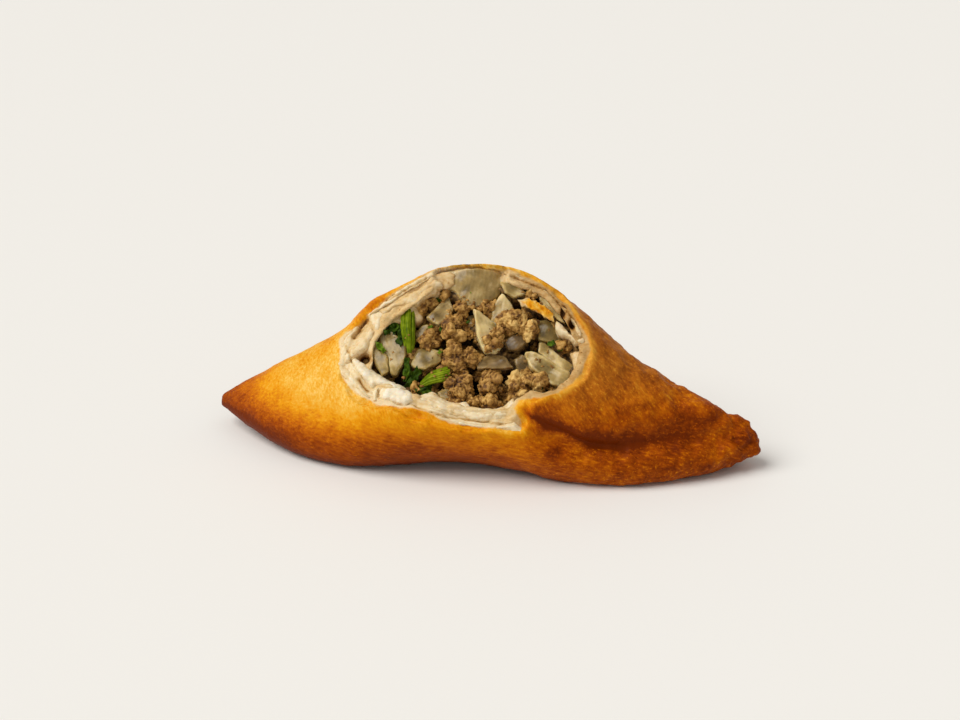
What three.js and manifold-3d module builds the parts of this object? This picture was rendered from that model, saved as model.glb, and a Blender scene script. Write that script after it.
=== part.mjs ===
// A folded and fried samosa that sits on its sealed base, with its top corner bitten open.
// The pastry is one shell of layered dough. The filling of mince, onion and coriander runs
// through it from tip to tip, and shows in the bite as a rough heap.
// Frame: +X runs along the base to the crimped tip, the bite faces -Y and up, and +Z is up.
// The origin lies on the resting surface, under the middle of the part's box.

import * as THREE from "three";
import { mergeVertices } from "three/addons/utils/BufferGeometryUtils.js";
import Module from "manifold-3d";

const wasm = await Module();
wasm.setup();

// Driving dimensions, in millimetres and degrees
const LENGTH = 117; // from tip to tip
const HEIGHT = 41; // of the folded ridge before the bite
const DEPTH = 38; // from the front wall to the back wall before they bulge
const WALL = 3.4; // of the wrapped pastry
const PLUMP_WALL = 3.2; // what the puffed dough adds low on the front left
const PLUMP_AT = [-20, 1.9]; // its middle, along X and as an angle from the ridge in radians
const PLUMP_SPREAD = [14, 0.6];
const TIP_WALLS = 3.2; // how many walls thick the folded tips are
const CLEARANCE = 0.3; // between the filling and the pastry round it

// The parcel's outline, as shares of the half length and of the height or half depth
const HALF = LENGTH / 2;
const RIDGE = [
  [-1, 0.16], [-0.9, 0.26], [-0.5, 0.61], [-0.28, 0.85], [-0.12, 0.97], [0.12, 0.97], [0.3, 0.83],
  [0.5, 0.585], [0.75, 0.375], [0.94, 0.265], [1, 0.165],
];
const FOOT = [
  [-1, 0.1], [-0.86, 0.02], [-0.5, -0.13], [-0.05, -0.02], [0.5, -0.11], [0.8, -0.03], [1, 0.07],
];
const FRONT = [
  [-1, 0.07], [-0.87, 0.4], [-0.7, 0.72], [-0.4, 0.98], [0, 1], [0.5, 0.8], [0.8, 0.47], [1, 0.1],
];
const BACK = [[-1, 0.07], [-0.8, 0.42], [-0.5, 0.76], [0, 1], [0.5, 0.78], [0.8, 0.42], [1, 0.1]];
const TOP_TAPER = 0.35; // how much the walls close in towards the ridge
const LEAN = 0.04; // of the ridge towards the back, per millimetre of height

// The seam on the right, where the last flap is pressed on to the parcel
const SEAM_HEIGHT = [[0, 17], [0.2, 15], [0.31, 10.6], [0.45, 8.6], [0.7, 9], [1, 7.5]];
const SEAM_DEPTH = 3.4;
const SEAM_SOFTNESS = 2.6; // height over which the valley runs out
const SEAM_START = [8, 18]; // along X, from the bite's lower corner
const SEAM_END = [48, 59];
const FLAP_SWELL = 1.3; // of the flap below the seam
const FLAP_EDGE = 4; // height over which the swell comes in
const BACK_SEAM = 0.45; // how deep the seam is on the back wall, as a share of the front's

// The pinched folds on the ridge beside the crimped tip
const CRIMP_PITCH = 11;
const CRIMP_DEPTH = 0.5;
const CRIMP_START = [26, 40];

// The bite: its mouth's centre, the way it faces, and its outlines as [across, up] on the mouth
const MOUTH_CENTRE = new THREE.Vector3(-2.7, -8.3, 25.9);
const MOUTH_AZIMUTH = 10.7;
const MOUTH_ELEVATION = 40;
const SKIN_OUTLINE = [
  [24.8, 0], [22.6, 7.5], [16.6, 13.4], [8, 16.6], [-5.5, 17.2], [-18.2, 12], [-27, 4.6],
  [-29.6, -4], [-23, -11.8], [-10.5, -14.8], [-1, -16.5], [11.5, -17.2], [12.4, -10.4], [20.6, -8.4],
];
const DOUGH_OUTLINE = [
  [22.4, 0], [20.4, 5.6], [14, 11], [6.8, 14], [-3.4, 13.8], [-13, 9.2], [-20.4, 3.6],
  [-22, -3.4], [-16.4, -8], [-9.4, -11], [-1.6, -12.2], [6.5, -12.8], [10, -10], [19, -8.2],
];
const TORN_FLARE = 34; // of the torn wall, out from straight across it
const TEETH = [[7, 0.55], [13, 0.4], [23, 0.3]]; // of the torn edge, as [count round it, height]
const LAYERS = [
  { depth: 0, torn: 0, phase: 0.4 }, // the browned skin
  { depth: 0.32, torn: 0.5, phase: 1.9 }, // depth as a share of the wall, torn towards the dough's outline
  { depth: 0.66, torn: 1, phase: 3.1 },
];
const MOUTH_REACH = 40; // past the mouth, clear of the parcel
const MOUTH_DEPTH = 14; // into the parcel, past the wall
const BROW = [0.1, 0.135, -0.0055]; // how far out the inner rim lies, in powers of the place across
const FILL_DEPTH = 5.5; // of the packed filling below the rim, under the pieces that show

// The pieces that show in the bite, as [across, up, length, width, turn, sunk below the rim] on the mouth
const ONION = [
  [1.8, 13.4, 12, 6, -2, 0.8], [-4.6, 8.4, 6.8, 3.6, 48, 2], [-8.4, 4.6, 3.9, 2.8, 43, 3],
  [-7.6, -1.3, 6.9, 5.1, 24, 2.2], [5.3, 3.3, 10.6, 6.1, 119, 1.5], [7.8, 8.3, 7.9, 4.9, 70, 2],
  [10.3, 12.5, 6.3, 2.7, -24, 0.9], [18.1, 8.3, 8.3, 1.5, -49, 0.7], [6.4, -2.7, 7.8, 3.7, -2, 2.6],
  [10.9, 1.7, 5.2, 3.6, 25, 2.6], [17.4, -4.6, 11.6, 4.6, -40, 1.3], [19.2, -1.9, 10.2, 2.9, -43, 2],
  [17.7, 4, 6.7, 4.7, -50, 3.2], [-17.3, -1.1, 8.5, 3.1, 110, 1.8], [-14.7, 0.5, 10.5, 5, 111, 2.2],
  [12.1, -2.7, 4.5, 3, 111, 3.8], [-3, -9.3, 4.4, 3.5, -4, 2],
];
const STEMS = [
  [-11.2, 4.7, 9.2, 2.4, 90, 2.4], [-5.8, -6, 6.4, 2.2, 18, 2.4], [-11.5, -3.8, 6, 1.6, 90, 3.4],
];
const LEAVES = [
  [-14.4, 4.8, 4.5, 3, 20, 2.2], [-13, 3, 3.6, 2.6, 70, 2.2], [-17.2, 1.2, 2.9, 1.3, -45, 1],
  [-9.4, -5.4, 4.6, 3, 60, 2.4], [-7.4, -7.6, 4.4, 3, 20, 2.4], [19.2, 0.8, 3.4, 2.2, 10, 1.8],
];
// Crumbs of mince, as [across, up, radius] on the mouth
const MINCE = [
  [-1.9, 5.5, 3.1], [-7, 2.6, 1.9], [-1.8, -1.4, 2.8], [1.4, -1.5, 1.7], [-0.3, -7.7, 2.8], [6.5, -7.3, 2.8],
  [3, -11, 2], [12.2, -7.4, 2.8], [15.5, -7.1, 2.2], [9.7, 5.9, 2.3], [13, 4.8, 2.3], [6.5, 0.7, 1.9],
  [-9.3, -8.1, 1.2], [14.3, 11.9, 1.5], [-0.2, 10.7, 1.7], [-6.9, 11.1, 1.9], [5.9, -11.5, 1.5],
  [4.7, 9.7, 1.5], [14, 8.7, 1.8], [-2.6, -10.9, 1.3], [20.9, 0.7, 1.3],
];
const CRUMB_SUNK = [1.5, 0.55]; // below the rim: a depth, and a share of the crumb's radius
const PIECE_TILT = 0.25; // radians, either way
const PETAL_THICKNESS = 2.2;
const PETAL_NARROWING = 0.4;
const PETAL_BOW = 0.08; // of its length
const LEAF_THICKNESS = 0.8;
const LEAF_WAVE = 0.6;
const LEAF_CURLS = 8; // radians of the wave over a leaf
const CRUMB_ROUGH = [0.8, 1.2]; // of a crumb's radius
const STEM_SIDES = 7;

// Mesh steps of the parcel's skin and of its hidden hollow
const SKIN_STEPS = { along: 48, front: [14, 9], back: [8, 6] }; // over and under the seam
const HOLLOW_STEPS = { along: 24, front: [7, 5], back: [5, 3] };
const OUTLINE_STEPS = 60;

const radians = THREE.MathUtils.degToRad;
const smooth = THREE.MathUtils.smoothstep;

// Repeatable random draws
let drawState = 20;
function draw(low, high) {
  drawState = (drawState * 16807) % 2147483647;
  return low + ((high - low) * drawState) / 2147483647;
}

// A smooth curve through a few [place, value] pairs, as a function of the place
function through(knots) {
  const slope = (i) => {
    const a = knots[Math.max(i - 1, 0)];
    const b = knots[Math.min(i + 1, knots.length - 1)];
    return (b[1] - a[1]) / (b[0] - a[0]);
  };
  return (place) => {
    const p = THREE.MathUtils.clamp(place, knots[0][0], knots[knots.length - 1][0]);
    const next = knots.findIndex((knot) => knot[0] >= p);
    const i = Math.max(next - 1, 0);
    const [x0, y0] = knots[i];
    const [x1, y1] = knots[i + 1];
    const span = x1 - x0;
    const t = (p - x0) / span;
    return (
      y0 * (1 + 2 * t) * (1 - t) ** 2 + slope(i) * span * t * (1 - t) ** 2 +
      y1 * t * t * (3 - 2 * t) + slope(i + 1) * span * t * t * (t - 1)
    );
  };
}

const ridgeShare = through(RIDGE);
const footShare = through(FOOT);
const frontShare = through(FRONT);
const backShare = through(BACK);
const seamHeight = through(SEAM_HEIGHT);

// Solids from three.js geometry and back
function solid(geometry) {
  const bare = geometry.index ? geometry.toNonIndexed() : geometry;
  const closed = mergeVertices(
    new THREE.BufferGeometry().setAttribute("position", bare.getAttribute("position")),
    1e-4,
  );
  return new wasm.Manifold(
    new wasm.Mesh({
      numProp: 3,
      vertProperties: new Float32Array(closed.attributes.position.array),
      triVerts: new Uint32Array(closed.index.array),
    }),
  );
}

function geometryOf(manifold) {
  const mesh = manifold.getMesh();
  return new THREE.BufferGeometry()
    .setAttribute("position", new THREE.BufferAttribute(mesh.vertProperties, 3))
    .setIndex(new THREE.BufferAttribute(mesh.triVerts, 1));
}

// A closed solid through rings of points, each ring anticlockwise as seen from the last one
function throughRings(rings) {
  const count = rings[0].length;
  const positions = rings.flat().flatMap((p) => [p.x, p.y, p.z]);
  const faces = [];
  for (let i = 0; i < rings.length - 1; i++) {
    for (let j = 0; j < count; j++) {
      const a = i * count + j;
      const b = i * count + ((j + 1) % count);
      faces.push(a, b, a + count, b, b + count, a + count);
    }
  }
  const close = (ring, first, outwards) => {
    const middle = ring.reduce((sum, p) => sum.add(p), new THREE.Vector3()).divideScalar(count);
    const centre = positions.length / 3;
    positions.push(middle.x, middle.y, middle.z);
    for (let j = 0; j < count; j++) {
      const a = first + j;
      const b = first + ((j + 1) % count);
      faces.push(centre, ...(outwards ? [a, b] : [b, a]));
    }
  };
  close(rings[0], 0, false);
  close(rings[rings.length - 1], (rings.length - 1) * count, true);
  return new THREE.BufferGeometry()
    .setAttribute("position", new THREE.Float32BufferAttribute(positions, 3))
    .setIndex(faces);
}

// The parcel's skin, or a surface inside it, at x and at an angle from the ridge over the front.
// The section is an egg, flat where it sits, with the seam's valley pressed into the front right.
function wallThickness(x, angle) {
  const along = (x - PLUMP_AT[0]) / PLUMP_SPREAD[0];
  const round = (angle - PLUMP_AT[1]) / PLUMP_SPREAD[1];
  return WALL + PLUMP_WALL * Math.exp(-(along ** 2) - round ** 2);
}

function egg(x) {
  const share = x / HALF;
  const top = HEIGHT * ridgeShare(share);
  const low = HEIGHT * footShare(share);
  return { middle: (top + low) / 2, half: (top - low) / 2, share };
}

function seamAngle(x) {
  const { middle, half, share } = egg(x);
  return Math.acos(THREE.MathUtils.clamp((seamHeight(share) - middle) / half, -0.9, 0.6));
}

function skinPoint(x, angle, depth) {
  const { middle, half, share } = egg(x);
  const inset = depth * wallThickness(x, angle);
  const front = Math.sin(angle) >= 0;
  const reach = (DEPTH / 2) * (front ? frontShare(share) : backShare(share)) - inset;
  const pinch = CRIMP_DEPTH * Math.sin((2 * Math.PI * x) / CRIMP_PITCH) * smooth(x, ...CRIMP_START);
  const z = middle + (half - inset) * Math.cos(angle) + pinch * smooth(Math.cos(angle), 0.5, 1);
  let y = -Math.sin(angle) * reach * (1 - TOP_TAPER * Math.cos(angle)) + LEAN * (z - middle);
  const along = smooth(x, ...SEAM_START) * (1 - smooth(x, ...SEAM_END)) * (front ? 1 : BACK_SEAM);
  const below = seamHeight(share) - z;
  const valley = SEAM_DEPTH * Math.exp(-Math.abs(below) / SEAM_SOFTNESS);
  y += along * (valley - FLAP_SWELL * smooth(below, 0, FLAP_EDGE)) * Math.sin(angle);
  return new THREE.Vector3(x, y, Math.max(z, inset));
}

// Angles from the ridge down one wall to just before the base, with one of them on the seam
function wallAngles(seam, [over, under]) {
  const aboveSeam = Array.from({ length: over }, (_, j) => (seam * j) / over);
  const belowSeam = Array.from({ length: under }, (_, j) => seam + ((Math.PI - seam) * j) / under);
  return [...aboveSeam, ...belowSeam];
}

// The whole parcel, drawn in by a share of the wall's thickness
function parcel(depth, steps, tighten = 0) {
  const share = depth + tighten / WALL;
  const end = HALF - TIP_WALLS * WALL * share;
  const rings = [];
  for (let i = 0; i <= steps.along; i++) {
    const x = THREE.MathUtils.lerp(-end, end, i / steps.along);
    const seam = seamAngle(x);
    const frontWall = wallAngles(seam, steps.front);
    const backWall = wallAngles(seam, steps.back).slice(1).map((angle) => 2 * Math.PI - angle);
    const round = [...frontWall, Math.PI, ...backWall.reverse()];
    rings.push(round.map((angle) => skinPoint(x, angle, share)));
  }
  return solid(throughRings(rings));
}

// Places on the bitten mouth
const mouthOut = new THREE.Vector3().setFromSphericalCoords(
  1, radians(90 - MOUTH_ELEVATION), radians(MOUTH_AZIMUTH),
);
mouthOut.set(mouthOut.x, -mouthOut.z, mouthOut.y);
const mouthAcross = new THREE.Vector3(Math.cos(radians(MOUTH_AZIMUTH)), Math.sin(radians(MOUTH_AZIMUTH)), 0);
const mouthUp = new THREE.Vector3().crossVectors(mouthOut, mouthAcross);
const mouthFrame = new THREE.Matrix4().makeBasis(mouthAcross, mouthUp, mouthOut).setPosition(MOUTH_CENTRE);

const onMouth = (across, up, out) => new THREE.Vector3(across, up, out).applyMatrix4(mouthFrame);

const browLevel = (across) => BROW[0] + BROW[1] * across + BROW[2] * across * across;

// What the bite took from one layer of the wall: a ragged outline that widens outwards from its floor
function bite(outline, phase, floor = () => -MOUTH_DEPTH) {
  const curve = new THREE.CatmullRomCurve3(
    outline.map(([across, up]) => new THREE.Vector3(across, up, 0)), true, "centripetal",
  );
  const edge = curve.getPoints(OUTLINE_STEPS).slice(0, OUTLINE_STEPS);
  const flare = Math.tan(radians(TORN_FLARE));
  const ringAt = (level) =>
    edge.map((p, i) => {
      const out = level(p.x);
      const turn = (2 * Math.PI * i) / OUTLINE_STEPS;
      const teeth = TEETH.map(([count, height]) => height * Math.sin(count * (turn + phase)));
      const radius = teeth.reduce((sum, tooth) => sum + tooth, p.length() + flare * out);
      const direction = p.clone().normalize();
      return onMouth(direction.x * radius, direction.y * radius, out);
    });
  return solid(throughRings([ringAt(floor), ringAt(() => 0), ringAt(() => MOUTH_REACH)]));
}

const between = (a, b, share) =>
  a.map(([x, y], i) => [THREE.MathUtils.lerp(x, b[i][0], share), THREE.MathUtils.lerp(y, b[i][1], share)]);

// Pastry: a browned skin and two inner layers, each torn a little further in than the one outside it
function pastrySolid() {
  const layers = LAYERS.map(({ depth, torn, phase }) => {
    const whole = parcel(depth, depth === 0 ? SKIN_STEPS : HOLLOW_STEPS);
    return whole.subtract(bite(between(SKIN_OUTLINE, DOUGH_OUTLINE, torn), phase));
  });
  return layers.reduce((wall, layer) => wall.add(layer)).subtract(parcel(1, HOLLOW_STEPS));
}

// One piece of the filling, turned on the mouth and sunk below the rim
function placed(geometry, across, up, sunk, turn, tilt) {
  const lean = new THREE.Euler(tilt, -tilt / 2, radians(turn), "ZYX");
  const facing = new THREE.Matrix4().makeRotationFromEuler(lean);
  const place = new THREE.Matrix4().makeTranslation(across, up, browLevel(across) - sunk);
  return solid(geometry.clone().applyMatrix4(mouthFrame.clone().multiply(place).multiply(facing)));
}

// A crumb of fried mince: a rough ball
function crumb(radius) {
  const ball = mergeVertices(
    new THREE.IcosahedronGeometry(radius, 1).deleteAttribute("normal").deleteAttribute("uv"),
    1e-4,
  );
  const corners = ball.attributes.position;
  for (let i = 0; i < corners.count; i++) {
    const rough = draw(...CRUMB_ROUGH);
    corners.setXYZ(i, corners.getX(i) * rough, corners.getY(i) * rough, corners.getZ(i) * rough);
  }
  return ball;
}

// A cut petal of onion, bowed along its length and narrowed at both ends
function petal(length, width) {
  const slab = new THREE.BoxGeometry(length, width, PETAL_THICKNESS, 4, 2, 1);
  const corners = slab.attributes.position;
  for (let i = 0; i < corners.count; i++) {
    const share = (2 * corners.getX(i)) / length;
    corners.setY(i, corners.getY(i) * (1 - PETAL_NARROWING * share * share));
    corners.setZ(i, corners.getZ(i) - PETAL_BOW * length * share * share);
  }
  return slab;
}

// A chopped leaf: a thin wavy sheet, both faces split alike
function leaf(length, width) {
  const sheet = new THREE.BoxGeometry(length, width, LEAF_THICKNESS, 3, 2, 1);
  const corners = sheet.attributes.position;
  for (let i = 0; i < corners.count; i++) {
    const along = Math.sin((LEAF_CURLS * corners.getX(i)) / length);
    const aside = Math.cos((LEAF_CURLS * corners.getY(i)) / width);
    corners.setZ(i, corners.getZ(i) + LEAF_WAVE * along * aside);
  }
  return sheet;
}

// A chopped herb stem, lying along its length
const stem = (length, width) =>
  new THREE.CylinderGeometry(width / 2, width / 2, length, STEM_SIDES).rotateZ(Math.PI / 2);

// Filling: packed into the hollow, sunk below the torn rim, with the pieces that show fused on
function fillingSolid() {
  const room = parcel(1, HOLLOW_STEPS, CLEARANCE);
  const fillLevel = (across) => browLevel(across) - FILL_DEPTH;
  const packed = room.subtract(bite(DOUGH_OUTLINE, LAYERS[2].phase, fillLevel));
  const tilt = () => draw(-PIECE_TILT, PIECE_TILT);
  const crumbDepth = (radius) => CRUMB_SUNK[0] + CRUMB_SUNK[1] * radius;
  const pieces = [
    ...MINCE.map(([across, up, radius]) =>
      placed(crumb(radius), across, up, crumbDepth(radius), draw(0, 360), 0)),
    ...ONION.map(([across, up, length, width, turn, sunk]) =>
      placed(petal(length, width), across, up, sunk + PETAL_THICKNESS / 2, turn, tilt())),
    ...STEMS.map(([across, up, length, width, turn, sunk]) =>
      placed(stem(length, width), across, up, sunk, turn, tilt())),
    ...LEAVES.map(([across, up, length, width, turn, sunk]) =>
      placed(leaf(length, width), across, up, sunk, turn, tilt())),
  ];
  return pieces.reduce((heap, piece) => heap.add(piece), packed).intersect(room);
}

const material = (color, roughness) => new THREE.MeshStandardMaterial({ color, roughness, metalness: 0 });
const samosa = new THREE.Group();
function add(name, manifold, finish) {
  const mesh = new THREE.Mesh(geometryOf(manifold), finish);
  mesh.name = name;
  samosa.add(mesh);
}

add("pastry", pastrySolid(), material(0xc9802a, 0.55));
add("filling", fillingSolid(), material(0x8a7550, 0.6));

// The origin, on the resting surface under the middle of the box
const box = new THREE.Box3().setFromObject(samosa);
samosa.position.set(-(box.min.x + box.max.x) / 2, -(box.min.y + box.max.y) / 2, -box.min.z);

export default samosa;
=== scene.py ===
import math

import bpy
import numpy as np
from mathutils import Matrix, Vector, noise
from mathutils.bvhtree import BVHTree
from mathutils.kdtree import KDTree


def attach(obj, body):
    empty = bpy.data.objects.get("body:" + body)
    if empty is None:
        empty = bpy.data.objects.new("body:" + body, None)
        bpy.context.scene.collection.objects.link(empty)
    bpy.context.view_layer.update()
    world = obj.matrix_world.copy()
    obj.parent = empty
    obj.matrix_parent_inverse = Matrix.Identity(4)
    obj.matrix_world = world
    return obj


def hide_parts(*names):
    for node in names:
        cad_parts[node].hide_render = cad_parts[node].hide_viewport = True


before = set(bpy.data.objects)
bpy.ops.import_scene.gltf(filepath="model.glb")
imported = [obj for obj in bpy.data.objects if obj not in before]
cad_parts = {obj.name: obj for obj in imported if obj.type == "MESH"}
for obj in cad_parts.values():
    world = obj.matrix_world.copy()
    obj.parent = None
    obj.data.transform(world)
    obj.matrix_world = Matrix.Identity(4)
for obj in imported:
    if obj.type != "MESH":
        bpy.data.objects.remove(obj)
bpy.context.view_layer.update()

# Camera
# It stands a forearm's length in front of the bitten side, a little to the right, and looks down on it.
MM = 0.001
CAMERA_PLACE = Vector((56.6, -302.8, 157)) * MM
CAMERA_TILT = math.radians(90 - 24)
CAMERA_TURN = math.radians(10.7)
CAMERA_LENS = 60
bpy.ops.object.select_all(action="DESELECT")
bpy.ops.object.camera_add(location=CAMERA_PLACE, rotation=(CAMERA_TILT, 0, CAMERA_TURN))
camera = bpy.context.object
camera.data.lens = CAMERA_LENS
bpy.context.scene.camera = camera

# Pastry
# One round of wheat dough folded round the filling, pinched shut along its base and deep fried.
# The skin has browned and blistered; at the bite the pale dough under it has torn in soft layers.
MOUTH_CENTRE = Vector((-2.7, -7.8, 25.9))
MOUTH_SIDE = math.radians(10.7)
MOUTH_RISE = math.radians(40)
FRONT_RISE = math.radians(23.6)


def facing_way(rise):
    level = math.cos(rise)
    return Vector((math.sin(MOUTH_SIDE) * level, -math.cos(MOUTH_SIDE) * level, math.sin(rise)))


MOUTH_OUT = facing_way(MOUTH_RISE)
FRONT = np.array(facing_way(FRONT_RISE))
MOUTH_ACROSS = Vector((math.cos(MOUTH_SIDE), math.sin(MOUTH_SIDE), 0))
MOUTH_UP = MOUTH_OUT.cross(MOUTH_ACROSS)
MOUTH_AXES = np.array([MOUTH_ACROSS, MOUTH_UP, MOUTH_OUT])
MERGE_REACH = 0.01
CRUST_VOXEL = 0.42
CRUST_KEPT = 0.68
FOLD_LIMIT = math.radians(48)
# Rounds of averaging that smooth the skin, soften the torn dough, and show where the skin is creased.
SKIN_ROUNDS = 60
TORN_ROUNDS = 4
CREASE_ROUNDS = 160
# Distance in mm from one thin layer of the wall to the next.
LAYER_STEP = 0.9
# The lip of the flap on the front: places along the parcel with the lip's height, the height of the
# shaded fold over it, in mm, and the fold's strength.
SEAM_ALONG = [10, 13.3, 16.8, 20.6, 25.3, 31.5, 36, 41, 58.5]
SEAM_HEIGHT = [17, 15.2, 12.9, 11.3, 8.6, 7.9, 8.4, 8.4, 6.8]
SEAM_SHADE = [1.6, 2.4, 3.2, 3.8, 5, 5, 3, 1.6, 1]
SEAM_STRENGTH = [0, 1, 1, 1, 1, 0.9, 0.5, 0.2, 0]
# How far the torn edge of the skin stands up at the upper left: places across the mouth and heights in mm.
EDGE_ACROSS = [-26.5, -25.1, -23.3, -21.4, -19.8, -18.1, -15.9, -13.7, -11.9, -8.2, -6, -3]
EDGE_LIFT = [0, 0.7, 1.7, 2.75, 2.85, 2.65, 1.95, 1.3, 1, 0.55, 0.45, 0]
# Places of the skin painted darker, some fried browner and some painted shade where the fold starts: [along,
# height], reach along and up in mm, and how much darker.
DARK_PLACES = [
    (45, 11, 5, 3, 0.2), (17.8, 8.2, 1.8, 1.5, 0.34), (15, 16.2, 1.6, 1.2, 0.12),
    (17.6, 13.5, 3.2, 1.5, 0.36), (13.4, 10.5, 2.4, 3, 0.12), (29, 20, 3, 2, 0.08),
]
# The edge of the browned skin round the bite, [across, up] in mm, as it is seen from the front.
SKIN_EDGE = [
    (-26, -3.6), (-24.8, -7.4), (-22.6, -9.7), (-20.7, -10.8), (-17.1, -12.7), (-9.8, -13), (-6.2, -14.2),
    (-2.6, -16), (2.8, -16.8), (8.3, -17.1), (11.9, -17.3), (11.7, -15.3), (10.5, -13), (11.4, -11),
    (14.8, -10.8), (19.2, -9.7), (22.1, -7.6), (24.4, -5.1), (25.2, -2.9), (26, -0.6), (25.6, 2.5),
    (24.5, 4.4), (23.1, 6.7), (21.3, 9.4), (17.6, 12.9), (14, 14.9), (9.1, 17.1), (4.7, 17.7), (-0.5, 17.8),
    (-5.5, 17.3), (-8.7, 15.5), (-11.4, 13.8), (-13, 13), (-15, 11.7), (-16.5, 10.4), (-18.3, 9),
    (-20.2, 7.1), (-20.5, 6.1), (-22.3, 4.7), (-24.4, 3.5), (-26.3, 2.1), (-26.1, -0.6),
]
# Seen from the front, a place looks this much higher for each mm that it stands out of the mouth.
SEEN_LIFT = 0.295
# Small deep holes between the layers: [across, up], reach across and up, and depth in mm.
DOUGH_HOLES = [(-20.5, -0.9, 1.1, 1, 4), (22.4, 4.7, 0.6, 0.9, 2), (20.7, 7.4, 0.4, 1, 1.5)]
# Slits between the layers, as they are seen from the front: two ends [across, up], half width and depth.
DOUGH_SLITS = [
    ((-22.9, 2.3), (-20.2, 6.1), 0.5, 1.2), ((-21.6, -6.9), (-19.6, -9.4), 0.35, 0.8),
    ((-18.9, 8.3), (-16, 10.2), 0.2, 0.5), ((-16, 10.2), (-12, 12.5), 0.2, 0.5),
    ((-12, 12.5), (-7.6, 15), 0.2, 0.5), ((-9.7, -12.5), (-3, -14.8), 0.2, 0.5),
    ((-3, -14.8), (8, -16.1), 0.2, 0.5), ((9.8, 15.5), (17.2, 12.3), 0.2, 0.4),
    ((17.2, 12.3), (22.7, 6.1), 0.2, 0.4), ((-24.6, 0.4), (-23.2, -3.2), 0.2, 0.5),
    ((-23.2, -3.2), (-20.6, -6.6), 0.2, 0.5),
]


def alone(piece):
    bpy.ops.object.select_all(action="DESELECT")
    piece.select_set(True)
    bpy.context.view_layer.objects.active = piece


def modify(piece, kind, **settings):
    alone(piece)
    modifier = piece.modifiers.new(kind.lower(), kind)
    for name, value in settings.items():
        setattr(modifier, name, value)
    bpy.ops.object.modifier_apply(modifier=modifier.name)


def remesh(piece, voxel):
    modify(piece, "REMESH", mode="VOXEL", voxel_size=voxel * MM, use_smooth_shade=True)


def points_of(piece):
    flat = np.empty(3 * len(piece.data.vertices))
    piece.data.vertices.foreach_get("co", flat)
    return flat.reshape(-1, 3) / MM


def normals_of(piece):
    flat = np.empty(3 * len(piece.data.vertices))
    piece.data.vertex_normals.foreach_get("vector", flat)
    return flat.reshape(-1, 3)


def move_points(piece, points):
    piece.data.vertices.foreach_set("co", (points * MM).ravel())
    piece.data.update()


def keep_value(piece, name, values):
    kept = np.zeros(len(piece.data.vertices)) + values
    piece.data.attributes.new(name, "FLOAT", "POINT").data.foreach_set("value", kept)


def ease(low, high, value):
    share = np.clip((value - low) / (high - low), 0, 1)
    return share * share * (3 - 2 * share)


def window(value, low, high, soft):
    return ease(low - soft, low + soft, value) * ease(high + soft, high - soft, value)


def cloud(points, size, seed=0):
    return np.array([noise.noise(p) for p in (points / size + 17.3 * seed).tolist()])


def closeness(first, second, spot):
    first_away = (first - spot[0]) / spot[2]
    second_away = (second - spot[1]) / spot[3]
    return np.exp(-first_away ** 2 - second_away ** 2)


def averaged(piece, values, rounds):
    ends = np.empty(2 * len(piece.data.edges), dtype=int)
    piece.data.edges.foreach_get("vertices", ends)
    ends = ends.reshape(-1, 2)
    here = np.concatenate([ends[:, 0], ends[:, 1]])
    there = np.concatenate([ends[:, 1], ends[:, 0]])
    count = np.maximum(np.bincount(here, minlength=len(values)), 1)
    for _ in range(rounds):
        sums = [np.bincount(here, column[there], len(values)) for column in values.T]
        values = 0.5 * values + 0.5 * np.column_stack(sums) / count[:, None]
    return values


def from_mouth(points):
    return (points - np.array(MOUTH_CENTRE)) @ MOUTH_AXES.T


def to_edge(points, outline):
    starts = np.array([spot[:2] for spot in outline])
    ways = np.roll(starts, -1, axis=0) - starts
    aside = points[:, None, :2] - starts
    share = np.clip(np.sum(aside * ways, axis=2) / np.sum(ways ** 2, axis=1), 0, 1)
    return np.min(np.linalg.norm(aside - share[:, :, None] * ways, axis=2), axis=1)


def slit_share(seen, start, end, half_width):
    return np.exp(-(to_edge(seen, [start, end]) / half_width) ** 2)


def inside(points, outline):
    starts = np.array(outline)
    ends = np.roll(starts, -1, axis=0)
    level = points[:, 1, None]
    crossed = (starts[:, 1] > level) != (ends[:, 1] > level)
    slope = (ends[:, 0] - starts[:, 0]) / (ends[:, 1] - starts[:, 1])
    beyond = points[:, 0, None] < starts[:, 0] + slope * (level - starts[:, 1])
    return np.sum(crossed & beyond, axis=1) % 2 == 1


def copy_of(node, name):
    piece = bpy.data.objects.new(name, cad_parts[node].data.copy())
    bpy.context.collection.objects.link(piece)
    piece.data.materials.clear()
    alone(piece)
    bpy.ops.object.mode_set(mode="EDIT")
    bpy.ops.mesh.select_mode(type="FACE")
    bpy.ops.mesh.select_all(action="SELECT")
    bpy.ops.mesh.remove_doubles(threshold=MERGE_REACH * MM)
    bpy.ops.mesh.select_all(action="DESELECT")
    bpy.ops.object.mode_set(mode="OBJECT")
    return piece


def faces_reached(piece, first):
    chosen = np.zeros(len(piece.data.polygons), dtype=bool)
    chosen[first] = True
    piece.data.polygons.foreach_set("select", chosen)
    bpy.ops.object.mode_set(mode="EDIT")
    bpy.ops.mesh.faces_select_linked_flat(sharpness=FOLD_LIMIT)
    bpy.ops.object.mode_set(mode="OBJECT")
    piece.data.polygons.foreach_get("select", chosen)
    return chosen


def surface(piece, chosen):
    faces = [tuple(f.vertices) for f, wanted in zip(piece.data.polygons, chosen) if wanted]
    return BVHTree.FromPolygons([v.co / MM for v in piece.data.vertices], faces)


def distances(tree, points):
    return np.array([tree.find_nearest(p)[3] for p in points.tolist()])


crust = copy_of("pastry", "pastry_crust")
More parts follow.
